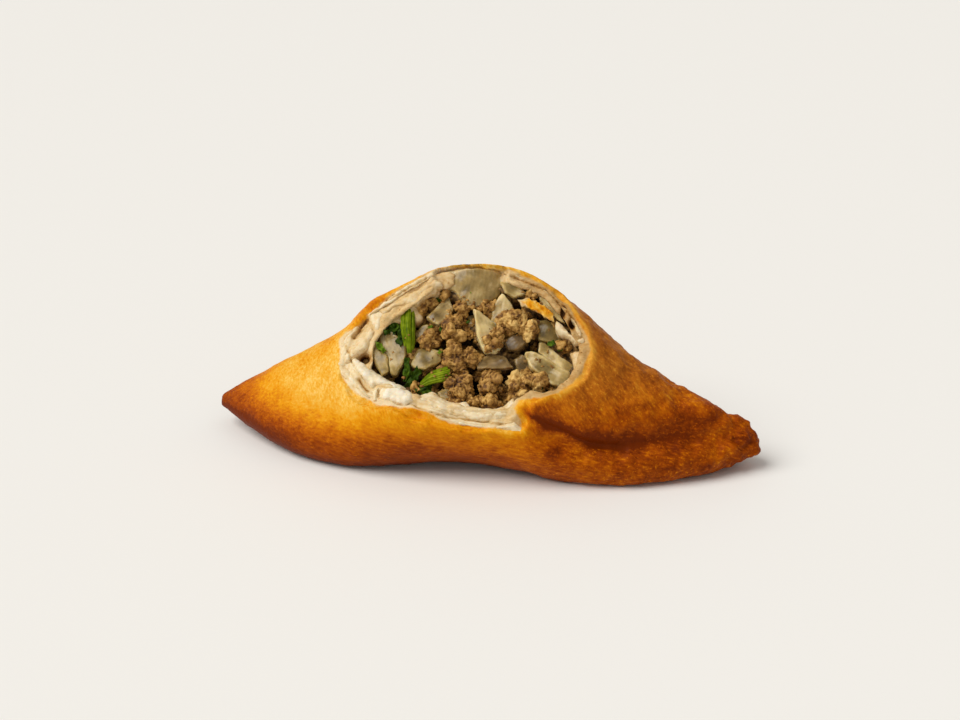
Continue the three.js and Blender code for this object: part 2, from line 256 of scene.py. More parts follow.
# The lowest face that looks down is on the skin, and the lowest that looks up is on the hollow's floor.
face_middles = np.array([f.center for f in crust.data.polygons])
face_facings = np.array([f.normal for f in crust.data.polygons])
under_face = np.argmin(face_middles[:, 2] + (face_facings[:, 2] > -0.9))
floor_face = np.argmin(face_middles[:, 2] + (face_facings[:, 2] < 0.9))
skin_faces = faces_reached(crust, under_face)
hollow_faces = faces_reached(crust, floor_face)
skin_surface = surface(crust, skin_faces)
hollow_surface = surface(crust, hollow_faces)
torn_surface = surface(crust, ~skin_faces & ~hollow_faces)
remesh(crust, CRUST_VOXEL)

crust_points = points_of(crust)
to_skin = distances(skin_surface, crust_points)
to_hollow = distances(hollow_surface, crust_points)
to_torn = distances(torn_surface, crust_points)
on_skin = to_skin < np.minimum(to_torn, to_hollow)
rim = np.where(on_skin, to_torn, -to_skin)
# The torn edge of the skin stands up at the upper left.
mouth_points = from_mouth(crust_points)
lifted = np.interp(mouth_points[:, 0], EDGE_ACROSS, EDGE_LIFT) * ease(-2, 2, mouth_points[:, 1])
lifted *= ease(-2.2, -0.4, rim) * ease(9, 1, rim) * ease(3, 1, to_torn - np.maximum(rim, 0))
crust_points += lifted[:, None] * np.array(MOUTH_UP)
# The facets of the solid are worn smooth over the skin, less on the pinched tips, and softened in the dough.
skin_weight = ease(0.3, 2.4, rim) * (1 - 0.8 * ease(50, 57, np.abs(crust_points[:, 0])))
smooth_points = averaged(crust, crust_points, SKIN_ROUNDS)
crust_points += skin_weight[:, None] * (smooth_points - crust_points)
torn_weight = 1 - ease(-0.2, 0.8, rim)
soft_points = averaged(crust, crust_points, TORN_ROUNDS)
crust_points += torn_weight[:, None] * (soft_points - crust_points)
move_points(crust, crust_points)
crust_normals = normals_of(crust)
wide_points = averaged(crust, crust_points, CREASE_ROUNDS)
crease = np.sum((wide_points - crust_points) * crust_normals, axis=1)
along = crust_points[:, 0]
height = crust_points[:, 2]
crust_at = from_mouth(crust_points)
across = crust_at[:, 0]
up = crust_at[:, 1]
turn = np.degrees(np.arctan2(up, across)) % 360
upward = crust_normals[:, 2]
on_front = ease(0.2, -0.2, crust_normals[:, 1])
# Over the flap's lip the skin bulges, and under the bulge runs a fold from the bite to the right, painted
# dark as shade.
over_seam = height - np.interp(along, SEAM_ALONG, SEAM_HEIGHT)
seam_shade = np.interp(along, SEAM_ALONG, SEAM_SHADE)
seam_reach = np.interp(along, SEAM_ALONG, SEAM_STRENGTH) * on_front
fold = seam_reach * np.exp(-((over_seam - 0.4) / 0.7) ** 2)
painted_bulge_shade = seam_reach * ease(-0.5, 0.4, over_seam) * ease(seam_shade, 0.2 * seam_shade, over_seam)
# Blisters and wrinkles of the skin, the crimped tip, and the puffed torn dough.
skin_relief = 0.28 * cloud(crust_points, 9, 1) + 0.12 * cloud(crust_points, 3.2, 2)
skin_relief += 0.1 * ease(0.25, 0.7, cloud(crust_points, 1.9, 3))
skin_relief += ease(0, 30, along) * 0.36 * cloud(crust_points * (0.45, 1, 1), 2.6, 4)
skin_relief += ease(4, 30, along) * 0.14 * cloud(crust_points, 1.2, 11)
skin_relief += ease(46, 54, along) * (0.8 * cloud(crust_points, 2.6, 5) + 0.5 * cloud(crust_points, 1.3, 6))
skin_relief += 0.5 * ease(20, 40, along) * ease(0.2, 0.7, upward) * cloud(crust_points, 3.6, 10)
skin_relief -= 0.5 * fold
dough_relief = 0.4 * cloud(crust_points, 3, 8) + 0.2 * cloud(crust_points, 1.3, 9)
skin_share = ease(0.1, 1.4, rim)
torn_share = ease(0.2, -0.5, rim) * ease(6, 1, to_torn)
relief = skin_share * skin_relief + torn_share * dough_relief
crust_points += relief[:, None] * crust_normals
# Holes between the layers of the dough, and the hollow under the top petal; the holes and slits are painted
# dark as shade.
hole_shade = np.zeros(len(crust_points))
sunk = (1.9 + 1.5 * ease(1.5, 4.5, across)) * window(across, -5.5, 8.5, 1.2) * ease(10.5, 12.5, up)
for *spot, depth in DOUGH_HOLES:
    pit = closeness(across, up, spot)
    hole_shade = np.maximum(hole_shade, pit)
    sunk += depth * pit
seen = np.column_stack([across, up + SEEN_LIFT * crust_at[:, 2]])
for *line, depth in DOUGH_SLITS:
    slit = slit_share(seen, *line)
    hole_shade = np.maximum(hole_shade, 0.6 * min(depth, 0.8) * slit)
    sunk += depth * slit
crust_points -= (torn_share * sunk)[:, None] * np.array(MOUTH_OUT)
crust_points[:, 2] = np.maximum(crust_points[:, 2], 0)
move_points(crust, crust_points)
# Where the skin ends, how far it has browned or is painted dark as shade, and how pale the dough is.
seen_rim = to_edge(seen, SKIN_EDGE) * np.where(inside(seen, SKIN_EDGE), -1, 1)
colour_rim = rim + ease(0, 0.2, crust_normals @ FRONT) * ease(9, 6, to_torn) * (seen_rim - rim)
low = ease(16.5, 3.5, height)
right = ease(-6, 20, along)
far_right = ease(22, 34, along)
# The skin is browner low down, where it is also painted darker as shade, to the right and under the bite.
brown = 0.2 + 0.66 * low + 0.53 * right * (1 - low) + 0.16 * window(along, -20, 4, 6) * ease(23, 15, height)
# So are the tips (with painted shade where they face down), the low right, the left end's ridge and the low
# left, but not the front under the flap.
brown += (0.3 - 0.2 * ease(0.1, 0.7, upward)) * ease(-44, -57, along)
brown += 0.04 * ease(44, 57, along) + 0.04 * far_right * ease(17, 12, height)
brown += 0.2 * ease(-22, -34, along) * ease(0.7, 0.92, upward) + 0.1 * low * ease(-8, -26, along)
brown -= 0.1 * window(along, -2, 20, 4) * window(height, 6, 13, 2)
brown -= 0.5 * np.maximum(brown - 0.8, 0)
# The base and the underside of the left tip are painted darkest, as shade.
brown += 0.14 * ease(4, 1, height) * ease(30, 10, along)
brown += 0.2 * ease(-32, -50, along) * ease(0.5, -0.1, upward)
# Painted shade darkens the fold, the skin under the bulge and the creases, and painted light the flap under
# the lip; the lifted edge and the skin under the bite are browner.
brown += 0.26 * painted_bulge_shade ** 1.4 + 0.1 * fold + 0.15 * ease(0.2, 1, crease)
brown -= 0.06 * seam_reach * ease(-0.5, -1.5, over_seam)
brown += 0.16 * lifted + 0.08 * ease(4, 1, colour_rim) * window(turn, 215, 290, 15)
brown += 0.05 * window(along, 22, 42, 4) * window(height, 8, 14, 2)
# Browner patches, and painted shade at the start of the fold.
for *spot, darker in DARK_PLACES:
    brown += darker * closeness(along, height, spot) * on_front
brown -= (0.08 + 0.3 * right) * ease(2.2, 0.2, colour_rim)
layers = np.sin(2 * np.pi * to_skin / LAYER_STEP + 2.5 * cloud(crust_points, 6, 7))
# Painted shade darkens the dough in its holes and slits.
pale = 0.66 - 0.3 * ease(2, 18, across) - 0.18 * window(turn, 112, 168, 8) - hole_shade
pale += 0.08 * layers * window(turn, 175, 305, 10) - 0.14 * ease(-3.5, -6, rim)
keep_value(crust, "rim", colour_rim)
keep_value(crust, "brown", brown)
keep_value(crust, "pale", pale)
# The wall of the hollow is hidden by the filling, so it keeps few faces.
hidden = crust.vertex_groups.new(name="hidden")
hidden.add(np.flatnonzero((to_hollow < 0.3) & (to_torn > 5)).tolist(), 1, "REPLACE")
modify(crust, "DECIMATE", ratio=CRUST_KEPT, vertex_group="hidden", vertex_group_factor=100)


class Socket:
    """An output of a finish's nodes. Arithmetic on it adds Math nodes."""

    def __init__(self, tree, output=None):
        self.tree = tree
        self.output = output

    def node(self, kind, settings=None, inputs=None, output=0):
        made = self.tree.nodes.new(kind)
        for name, value in (settings or {}).items():
            if name == "stops":
                for _ in value[2:]:
                    made.color_ramp.elements.new(0.5)
                for element, (place, colour) in zip(made.color_ramp.elements, value):
                    element.position = place
                    element.color = (*colour, 1)
            else:
                setattr(made, name, value)
        for name, value in (inputs or {}).items():
            if isinstance(value, Socket):
                self.tree.links.new(value.output, made.inputs[name])
            else:
                made.inputs[name].default_value = value
        return Socket(self.tree, made.outputs[output] if made.outputs else None)

    def maths(self, operation, first, second=0.0):
        return self.node("ShaderNodeMath", {"operation": operation}, {0: first, 1: second})

    def __add__(self, other):
        return self.maths("ADD", self, other)

    __radd__ = __add__

    def __sub__(self, other):
        return self.maths("SUBTRACT", self, other)

    def __rsub__(self, other):
        return self.maths("SUBTRACT", other, self)

    def __mul__(self, other):
        return self.maths("MULTIPLY", self, other)

    __rmul__ = __mul__

    def eased(self, low, high):
        settings = {"interpolation_type": "SMOOTHSTEP"}
        return self.node("ShaderNodeMapRange", settings, {0: self, 1: low, 2: high})

    def mixed(self, first, second):
        settings = {"data_type": "RGBA"}
        return self.node("ShaderNodeMix", settings, {0: self, 6: first, 7: second}, 2)

    def toned(self, stops):
        return self.node("ShaderNodeValToRGB", {"stops": stops}, {0: self})

    def speckle(self, size, detail=3.0, lengths=(1, 1, 1), roughness=0.5, tilt=0.0):
        inputs = {0: self, "Scale": lengths, "Rotation": (0, math.radians(tilt), 0)}
        place = self.node("ShaderNodeMapping", {"vector_type": "TEXTURE"}, inputs)
        inputs = {"Vector": place, "Scale": 1 / (size * MM), "Detail": detail, "Roughness": roughness}
        return self.node("ShaderNodeTexNoise", {}, inputs)

    def bumped(self, strength, depth):
        inputs = {"Strength": strength, "Distance": depth * MM, "Height": self}
        return self.node("ShaderNodeBump", {}, inputs)

    def value(self, name):
        return self.node("ShaderNodeAttribute", {"attribute_name": name}, {}, "Fac")


def new_finish(piece, name):
    material = bpy.data.materials.new(name)
    material.use_nodes = True
    material.node_tree.nodes.clear()
    piece.data.materials.clear()
    piece.data.materials.append(material)
    sheet = Socket(material.node_tree)
    place = sheet.node("ShaderNodeTexCoord", {}, {}, "Object")
    return sheet, place


def close_finish(sheet, inputs):
    shader = sheet.node("ShaderNodeBsdfPrincipled", {}, inputs)
    sheet.node("ShaderNodeOutputMaterial", {}, {"Surface": shader})


sheet, place = new_finish(crust, "fried_dough")
skin_along = sheet.node("ShaderNodeSeparateXYZ", {}, {0: place}, 0) * (1 / MM)
skin_height = sheet.node("ShaderNodeSeparateXYZ", {}, {0: place}, 2) * (1 / MM)
mottle = place.speckle(9, 4)
patch = place.speckle(3.5, 4)
fine = place.speckle(0.9, 3)
tiny = place.speckle(0.5, 2)
fibre = place.speckle(0.5, 3, (3, 1, 0.7), 0.6)
streak_down = place.speckle(0.5, 3, (3.6, 1.4, 1), 0.6, 56)
streak_along = place.speckle(0.5, 3, (3.6, 1, 1), 0.6, 8)
streak = skin_height.eased(9, 16).mixed(streak_along, streak_down)
rightward = skin_along.eased(0, 22)
# The brown value carries both the browning and the painted shade of the skin.
brown_and_shade_share = place.value("brown")
variety = 0.3 * (mottle - 0.5) + 0.34 * (patch - 0.5) + 0.2 * (fine - 0.5)
variety = variety - (0.7 - 0.36 * rightward) * (streak - 0.5)
browning_and_shade = brown_and_shade_share + (1.7 - 1.3 * brown_and_shade_share + 0.6 * rightward) * variety
browning_and_shade = browning_and_shade - 0.1 * fine.eased(0.6, 0.7) - 0.08 * tiny.eased(0.62, 0.7)
browning_and_shade = browning_and_shade - rightward * (0.1 * streak.eased(0.56, 0.74) + 0.08 * tiny.eased(0.58, 0.7) - 0.03)
skin_tones = browning_and_shade.toned([
    (0.0, (0.86, 0.54, 0.13)),
    (0.2, (0.78, 0.41, 0.042)),
    (0.4, (0.74, 0.3, 0.003)),
    (0.55, (0.62, 0.2, 0.001)),
    (0.7, (0.5, 0.125, 0.0005)),
    (0.85, (0.31, 0.056, 0.0002)),
    (1.0, (0.15, 0.021, 0.0001)),
])
# A painted sheen: the upper right lobe, which faces up, gets yellower, less saturated tones for a soft
# reflection.
sheen_tones = browning_and_shade.toned([
    (0.3, (0.7, 0.34, 0.05)),
    (0.7, (0.46, 0.16, 0.014)),
    (1.0, (0.18, 0.05, 0.004)),
])
painted_sheen = 0.7 * skin_along.eased(8, 24) * skin_height.eased(13, 24)
skin_colour = painted_sheen.mixed(skin_tones, sheen_tones)
rim_mm = place.value("rim") + 1.2 * (patch - 0.5) + 0.8 * (fine - 0.5)
dough_tone = place.value("pale") + 0.3 * (patch - 0.5) + 0.26 * (fine - 0.5) + 0.28 * (fibre - 0.5)
dough_tone = dough_tone - 0.18 * place.speckle(0.7, 1).eased(0.68, 0.76)
dough_colour = dough_tone.toned([
    (0.0, (0.05, 0.018, 0.004)),
    (0.12, (0.2, 0.085, 0.02)),
    (0.25, (0.42, 0.22, 0.06)),
    (0.5, (0.68, 0.48, 0.23)),
    (0.75, (0.81, 0.68, 0.45)),
    (1.0, (0.88, 0.81, 0.67)),
])
edge = rim_mm.eased(-0.4, 0.2)
crust_colour = edge.mixed(dough_colour, skin_colour)
crust_height = edge.mixed(0.7 * fine + 0.4 * tiny + 0.8 * fibre, 0.4 * fine + 0.5 * patch + 0.8 * streak)
close_finish(sheet, {
    "Base Color": crust_colour,
    "Roughness": 0.66 - 0.2 * edge + 0.16 * (fine - 0.5),
    "Normal": crust_height.bumped(0.45, 0.3),
    "Specular IOR Level": 0.06,
    "Subsurface Weight": 0.1,
    "Subsurface Radius": (1.0, 0.5, 0.2),
    "Subsurface Scale": 0.9 * MM,
})
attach(crust, "root")
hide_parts("pastry")

# Torn dough
# The soft inside of the wall, pulled apart at the bite in puffed rolls, folds and thin layers.
# It is cream wheat dough that steamed under the skin, and each fold is still joined to the wall.
DOUGH_VOXEL = 0.24
DOUGH_THICK = 2.2
DOUGH_ROUND = 1.6
DOUGH_TUCK = 0.6
CUSHION_ROUNDS = 3
CUSHION_LAYER_STEP = 0.7
# Cushions: corners [across, up, out] on the rim, puff, paleness, and how far thin layers show.
DOUGH_CUSHIONS = [
    ([(-19.8, 8.6, -4.8), (-18.2, 10.1, -4.2), (-16.6, 11.1, -3.5), (-15.2, 11.9, -3), (-13.4, 13.1, -2.4),
      (-11.4, 14.2, -1.8), (-9.4, 15.3, -1.2), (-7.6, 16.1, -0.8), (-6.4, 16.6, -0.4), (-5.9, 15.9, -0.1),
      (-7.4, 14.9, -0.5), (-9.5, 13.7, -1), (-11.3, 12.9, -1.6), (-13.2, 12, -2.3), (-15, 10.7, -2.9),
      (-16.2, 10.1, -3.3), (-18, 9.1, -4)], 0.2, 0.72, 0.8),
    ([(-17.9, 9.4, -4), (-16, 9.9, -3.4), (-14.2, 10.8, -2.8), (-12.4, 11.7, -2), (-10.6, 12.4, -1.2),
      (-8.8, 13.4, -0.8), (-7.3, 14.2, -0.3), (-5.9, 14.8, 0.1), (-4.6, 14.3, 0.1), (-4.1, 13.4, -0.2),
      (-5.2, 12.9, -0.9), (-5.4, 12, -1.3), (-7, 11.6, -1.6), (-8.2, 10.7, -1.8), (-9.4, 9.6, -1.3),
      (-10.9, 9.7, -1.4), (-12.4, 9.7, -1.9), (-14.2, 9.6, -2.3), (-15.3, 8.8, -2.7), (-16.7, 8.2, -3.5)],
      0.25, 0.54, 0.2),
    ([(-20.1, 9, -5.8), (-19, 9.6, -5.4), (-17.5, 9.4, -4.6), (-16.4, 9.5, -4.3), (-15.3, 9, -3.5),
      (-16, 8.3, -3.7), (-16.9, 7.7, -4), (-17, 6.6, -4.2), (-17.2, 5.4, -4.3), (-17.8, 4.5, -4.5),
      (-18.4, 5.1, -4.9), (-18.9, 5.9, -5), (-19.7, 7.2, -5.6), (-20, 8.2, -5.8)], 0.5, 0.74, 0.4),
    ([(-25.2, 4.4, -7.2), (-23.8, 5.7, -6.8), (-22.3, 6.7, -6.4), (-21.5, 6.1, -6.1), (-20.2, 7, -5.8),
      (-19.7, 6.4, -5.5), (-21, 5.4, -5.9), (-21.7, 4.6, -6.2), (-22.6, 3.5, -6.4), (-24, 2, -6.3),
      (-25.5, 2, -7), (-25.9, 3.4, -7.4)], 0.3, 0.64, 1),
    ([(-25, -0.6, -6), (-24.5, 0.7, -6.1), (-23.3, 2.6, -6.2), (-21.8, 4, -6), (-20.6, 5.1, -5.6),
      (-19.1, 6, -4.9), (-18.3, 4.8, -4.7), (-18.7, 3.4, -4.7), (-19.4, 2.4, -4.7), (-19.5, 1.6, -4.6),
      (-19.8, 0.9, -4.6), (-20.7, 0.3, -5), (-21.7, -0.3, -5.3), (-22.6, -0.8, -5.4), (-23.9, -1.8, -6),
      (-24.8, -1.8, -6.4)], 0.6, 0.65, 0.3),
    ([(-23.3, -0.9, -5.8), (-22.4, -0.8, -5.5), (-21.5, -1.5, -5.3), (-20.3, -2.4, -4.7), (-19, -3.3, -4.6),
      (-17.8, -4.1, -4.7), (-16.5, -5.1, -4.4), (-15.1, -6, -4), (-13.8, -6.8, -3.6), (-12.2, -7.7, -3.2),
      (-11.6, -8.1, -2.8), (-12.8, -8.6, -2.1), (-14.2, -8.3, -1.9), (-15.7, -7.8, -2.3),
      (-17.1, -7.3, -2.9), (-18, -7.3, -3.4), (-18.6, -7.9, -3.7), (-19.3, -7.3, -4), (-20.2, -6.1, -4.2),
      (-21.3, -5.5, -4.1), (-22.3, -4.2, -4.6), (-23.1, -2.9, -5.2), (-23.5, -1.8, -5.7)], 0.9, 0.84, 0.3),
    ([(-25.7, -0.9, -6.5), (-25, -2.1, -6.4), (-23.6, -3.6, -5.5), (-22.2, -5.4, -4.4), (-21.1, -7, -3.7),
      (-20.3, -8.1, -3.3), (-19.6, -9.2, -3.1), (-18.6, -10, -2.8), (-19.2, -10.1, -3.1),
      (-20.3, -9.5, -3.5), (-21.4, -8.1, -4), (-22.9, -6.9, -4.8), (-24.3, -5.7, -5.7), (-25.2, -4.5, -6.1),
      (-25.8, -2.9, -6.2), (-26.1, -1.6, -6.5)], 0.35, 0.72, 1),
    ([(-18.6, -8.4, -3.7), (-17.8, -7.7, -3.4), (-17.3, -7.6, -3.1), (-17.1, -7.9, -3.1),
      (-17.5, -9.2, -3.3), (-17.7, -10.8, -2.5), (-18.5, -10.7, -2.9), (-18.6, -10, -2.9)], 0.5, 0.8, 0),
    ([(-17.1, -8.1, -3.1), (-16.4, -7.7, -2.7), (-14.9, -8, -2.1), (-13.5, -8.3, -1.8), (-12.2, -8.1, -2.6),
      (-11.1, -8.5, -2.4), (-10.3, -9.7, -0.9), (-10.1, -10.7, -0.9), (-9.9, -11.5, -1.2),
      (-10.6, -11.7, -1.2), (-11.6, -12.3, -0.8), (-13, -12, -0.9), (-14.5, -11.4, -1.3),
      (-15.9, -10.9, -1.7), (-17, -10.2, -2.4), (-17.4, -9.1, -3.2)], 0.9, 0.85, 0.2),
    ([(-9.7, -10.4, -0.8), (-8.6, -9.5, -2), (-7.4, -9.2, -2), (-6.3, -8.8, -1.8), (-5.3, -9.5, -1.6),
      (-4.3, -10.3, -1.4), (-3.2, -11, -1.2), (-1.8, -11.4, -1), (-0.6, -11.5, -0.8), (0.6, -11.3, -0.6),
      (1.6, -12.7, 0), (3.1, -13.5, 0.6), (4.5, -13.7, 0.8), (5.7, -13.1, 0.6), (7.2, -13.1, 0.8),
      (8.6, -12.3, 0.4), (9.5, -11.4, 0.3), (10.3, -10.6, 0.3), (10.8, -12.2, 1.6), (10, -13.7, 1.5),
      (10.2, -14.8, 1.3), (7.5, -15.5, 0.9), (4.9, -15.9, 0.8), (2.3, -15.7, 0.6), (-0.6, -14.9, 0),
      (-2.6, -14.1, 0), (-4.6, -13.4, 0), (-6.7, -12.2, -0.4), (-8.7, -11.6, -0.8)], 0.5, 0.68, 0.7),
    ([(-7.9, -12.3, -0.8), (-6.2, -13.1, -0.2), (-4.4, -14.1, 0.3), (-2.4, -14.9, 0.4), (-0.3, -15.8, 0.6),
      (2.5, -16.4, 0.7), (5.5, -16.6, 0.9), (8.5, -16.5, 1.2), (10.5, -15.9, 1.4), (11.9, -17.2, 1),
      (12.1, -18.6, 1.4), (10.3, -18.1, 1.3), (7.5, -17.7, 1), (4.5, -17.2, 0.6), (1.5, -16.8, 0.4),
      (-1, -16.4, 0.2), (-2.6, -15.7, 0.2), (-4.6, -14.7, 0.2), (-6.2, -13.7, 0)], 0.3, 0.76, 1),
    ([(8.4, 16.4, 0.4), (9.7, 16.3, 0.4), (11.1, 15.7, 0.4), (12.9, 14.7, 0.5), (14.7, 14.2, 0.5),
      (16.1, 13.4, 0.6), (17.5, 11.8, 1), (19, 10.2, 1.2), (20.4, 8.9, 1.2), (21.7, 7.6, 1.2),
      (22.7, 5.9, 1.2), (23.6, 4.4, 1), (24.3, 3, 0.8), (24.6, 1.9, 0.6), (23.9, 1.8, 0.7),
      (23.2, 3.3, 0.8), (22.9, 5, 0.8), (21.8, 6.2, 1), (20.4, 8.1, 0.9), (19.4, 9.4, 0.7),
      (17.8, 10.7, 0.8), (16.4, 11.9, 0.6), (15.4, 12.7, 0.4), (14, 13.4, 0.2), (12.5, 14, 0.1),
      (11.5, 14.8, 0.1), (10, 15.2, 0.4), (8.8, 15.4, 0.6)], 0.15, 0.52, 0.9),
    ([(19.2, 5.9, -0.3), (20.1, 5.3, -0.3), (21, 4.2, -0.2), (21.7, 3.5, 0.2), (22.6, 2.2, 0.9),
      (23.5, 1.5, 0.9), (24.8, 1.9, 0.8), (25.1, 0.9, 1), (24.2, 0.5, 1), (23, 0.6, 0.8), (22, 1.7, -0.2),
      (20.8, 2.4, -0.5), (19.7, 2.9, -0.6), (19.2, 3.8, -0.5), (19, 4.9, -0.4)], 0.5, 0.7, 0.4),
    ([(21.9, -1, -1.2), (23.2, -0.5, -0.6), (24.5, -1.2, 0.8), (25.3, -0.2, 1.2), (25.4, -2.4, 1.4),
      (24.8, -4.2, 1.8), (23.7, -5.6, 2), (22.9, -6.3, 1.8), (22.7, -5, 1), (22.5, -2.5, -0.6)], 0.3, 0.5,
      0.6),
    ([(-17, 6.9, -3.6), (-16, 8.4, -3.2), (-13.2, 9.9, -3), (-10.2, 11.4, -2.6), (-7.2, 12.5, -2.2),
      (-5, 13.1, -1.8), (-4.4, 12.4, -2.6), (-6.1, 11.4, -3.4), (-7.8, 10.5, -4), (-8.5, 8.9, -3.5),
      (-8.3, 7.2, -3.7), (-9.5, 6.1, -3.9), (-12.5, 6.3, -4.1), (-14.7, 6.5, -4.1), (-16.2, 6, -3.9)], 0.15,
      0.5, 0),
    ([(-7, 16, -1.5), (-5.6, 16.6, -1.3), (-4.1, 16.9, -1.2), (-2.9, 17, -1.1), (-1.6, 16.2, -0.9),
      (-1.8, 14.6, -1.1), (-1.6, 14.1, -1.3), (-2.7, 13.5, -1.6), (-3.7, 12.8, -1.8), (-4.5, 13.4, -1.7),
      (-4.3, 13.8, -1.4), (-5.5, 14.8, -1.3), (-6.6, 15.5, -1.6)], 0.05, 0.46, 0.2),
]


def on_mouth(points):
    return np.array(points, dtype=float) @ MOUTH_AXES + np.array(MOUTH_CENTRE)


def drift(points, size, *seeds):
    return np.column_stack([cloud(points, size, seed) for seed in seeds])


def slab(outline, thickness, voxel):
    bpy.ops.object.select_all(action="DESELECT")
    bpy.ops.mesh.primitive_circle_add(vertices=len(outline), radius=MM, fill_type="NGON")
    piece = bpy.context.object
    for corner, spot in zip(piece.data.vertices, outline):
        corner.co = (spot[0] * MM, spot[1] * MM, 0)
    bpy.ops.object.mode_set(mode="EDIT")
    bpy.ops.mesh.select_all(action="SELECT")
    bpy.ops.mesh.extrude_region_move(TRANSFORM_OT_translate={"value": (0, 0, -thickness * MM)})
    bpy.ops.mesh.select_all(action="SELECT")
    bpy.ops.mesh.normals_make_consistent(inside=False)
    bpy.ops.object.mode_set(mode="OBJECT")
    remesh(piece, voxel)
    return piece


def joined(pieces, name):
    alone(pieces[0])
    for piece in pieces:
        piece.select_set(True)
    bpy.ops.object.join()
    bpy.context.object.name = name
    return bpy.context.object


cushions = []
for number, (corners, puff, paleness, layered) in enumerate(DOUGH_CUSHIONS):
    cushion = slab(corners, DOUGH_THICK, DOUGH_VOXEL)
    flat = averaged(cushion, points_of(cushion), CUSHION_ROUNDS)
    inward = to_edge(flat, corners)
    nearness = (np.linalg.norm(flat[:, None, :2] - [c[:2] for c in corners], axis=2) + 0.4) ** -3
    level = nearness @ [c[2] for c in corners] / nearness.sum(axis=1)
    dome = np.sqrt(1 - (1 - np.clip(inward / min(DOUGH_ROUND, 0.9 * inward.max()), 0, 1)) ** 2)
    flat[:, 2] += level - DOUGH_TUCK + (puff + DOUGH_TUCK) * dome * ease(-DOUGH_THICK, 0, flat[:, 2])
    placed = on_mouth(flat)
    move_points(cushion, placed)
    puffs = np.abs(cloud(placed, 2.4, 201 + number))
    crumbs = np.abs(cloud(placed, 0.8, 261 + number))
    pits = ease(0.2, 0.5, cloud(placed, 1.1, 281 + number))
    layers = layered * np.sin(2 * np.pi * inward / CUSHION_LAYER_STEP + 3 * cloud(placed, 3, 221 + number))
    rough = 0.25 + 0.75 * min(puff / 0.5, 1)
    relief = rough * (0.16 * (crumbs - 0.2) - 0.12 * pits + 0.06 * cloud(placed, 0.45, 241 + number))
    relief += (0.08 + 0.5 * puff) * (puffs - 0.15) + 0.11 * layers
    placed += relief[:, None] * normals_of(cushion)
    # Painted shade darkens the cushions at their edges, in pits and in slits; painted light brightens their
    # puffs and crumbs.
    shade = paleness - 0.14 * ease(0.6, 0, inward) + 0.26 * (puffs - 0.15) + 0.08 * layers
    shade += rough * (0.2 * (crumbs - 0.2) - 0.08 * pits)
    seen = np.column_stack([flat[:, 0], flat[:, 1] + SEEN_LIFT * flat[:, 2]])
    seen += 0.3 * drift(placed, 1.3, 301, 302)
    for *line, depth in DOUGH_SLITS:
        slit = slit_share(seen, *line)
        placed -= (depth * slit)[:, None] * np.array(MOUTH_OUT)
        shade -= 0.5 * min(depth, 0.8) * slit
    move_points(cushion, placed)
    keep_value(cushion, "pale", shade)
    keep_value(cushion, "rim", -2)
    keep_value(cushion, "brown", 0.3)
    cushions.append(cushion)
dough = joined(cushions, "torn_dough")
dough.data.materials.append(crust.data.materials[0])
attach(dough, "root")

# Packed filling
# Mince, onion and spice fried together and packed on the dough before it is folded round them.
# It fills the parcel from tip to tip, and shows moist in the gaps at the bite, which are sunk and painted
# dark as shade.
CORE_VOXEL = 0.5
CORE_SINK = 2.2
# Gaps that open between the crumbs, sunk and painted dark as shade: [across, up] and reach across and up in
# mm.
DARK_GAPS = [(2.7, -6.4, 1, 2.4), (8.7, -6.6, 0.9, 1.8), (-13, -5.4, 1.6, 1.4), (-9, -6.4, 1, 1)]
GAP_DEPTH = 2.4


def gap_share(places):
    return np.max([closeness(places[:, 0], places[:, 1], gap) for gap in DARK_GAPS], axis=0)


core = copy_of("filling", "filling_core")
remesh(core, CORE_VOXEL)
core_points = points_of(core)
core_at = from_mouth(core_points)
bared = ease(-9, -5.5, core_at[:, 2])
gap = gap_share(core_at)
core_bumps = np.abs(cloud(core_points, 1.3, 14))
core_relief = 0.6 * cloud(core_points, 1.9, 13) + 1.5 * core_bumps
core_points += (bared * (core_relief - CORE_SINK - GAP_DEPTH * gap))[:, None] * np.array(MOUTH_OUT)
move_points(core, core_points)
# Painted light on the raised bumps and painted shade in the gaps.
keep_value(core, "shade", ease(0, 0.4, core_bumps) - 1.2 * gap)
sheet, place = new_finish(core, "packed_mince")
speck = place.speckle(0.9, 4)
core_tone = 0.6 * speck + 0.4 * place.value("shade")
core_colour = core_tone.toned([
    (0.25, (0.02, 0.009, 0.002)),
    (0.5, (0.13, 0.068, 0.017)),
    (0.75, (0.32, 0.18, 0.05)),
])
close_finish(sheet, {
    "Base Color": core_colour,
    "Roughness": 0.5 + 0.2 * speck,
    "Normal": speck.bumped(0.6, 0.4),
    "Specular IOR Level": 0.3,
})
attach(core, "root")
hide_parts("filling")

# Onion
# Diced onion, cooked until it is half clear, in flat curved petals with fine lines along them.
# The petals lie loose in the filling, most of them half sunk in the mince.
ONION_VOXEL = 0.24
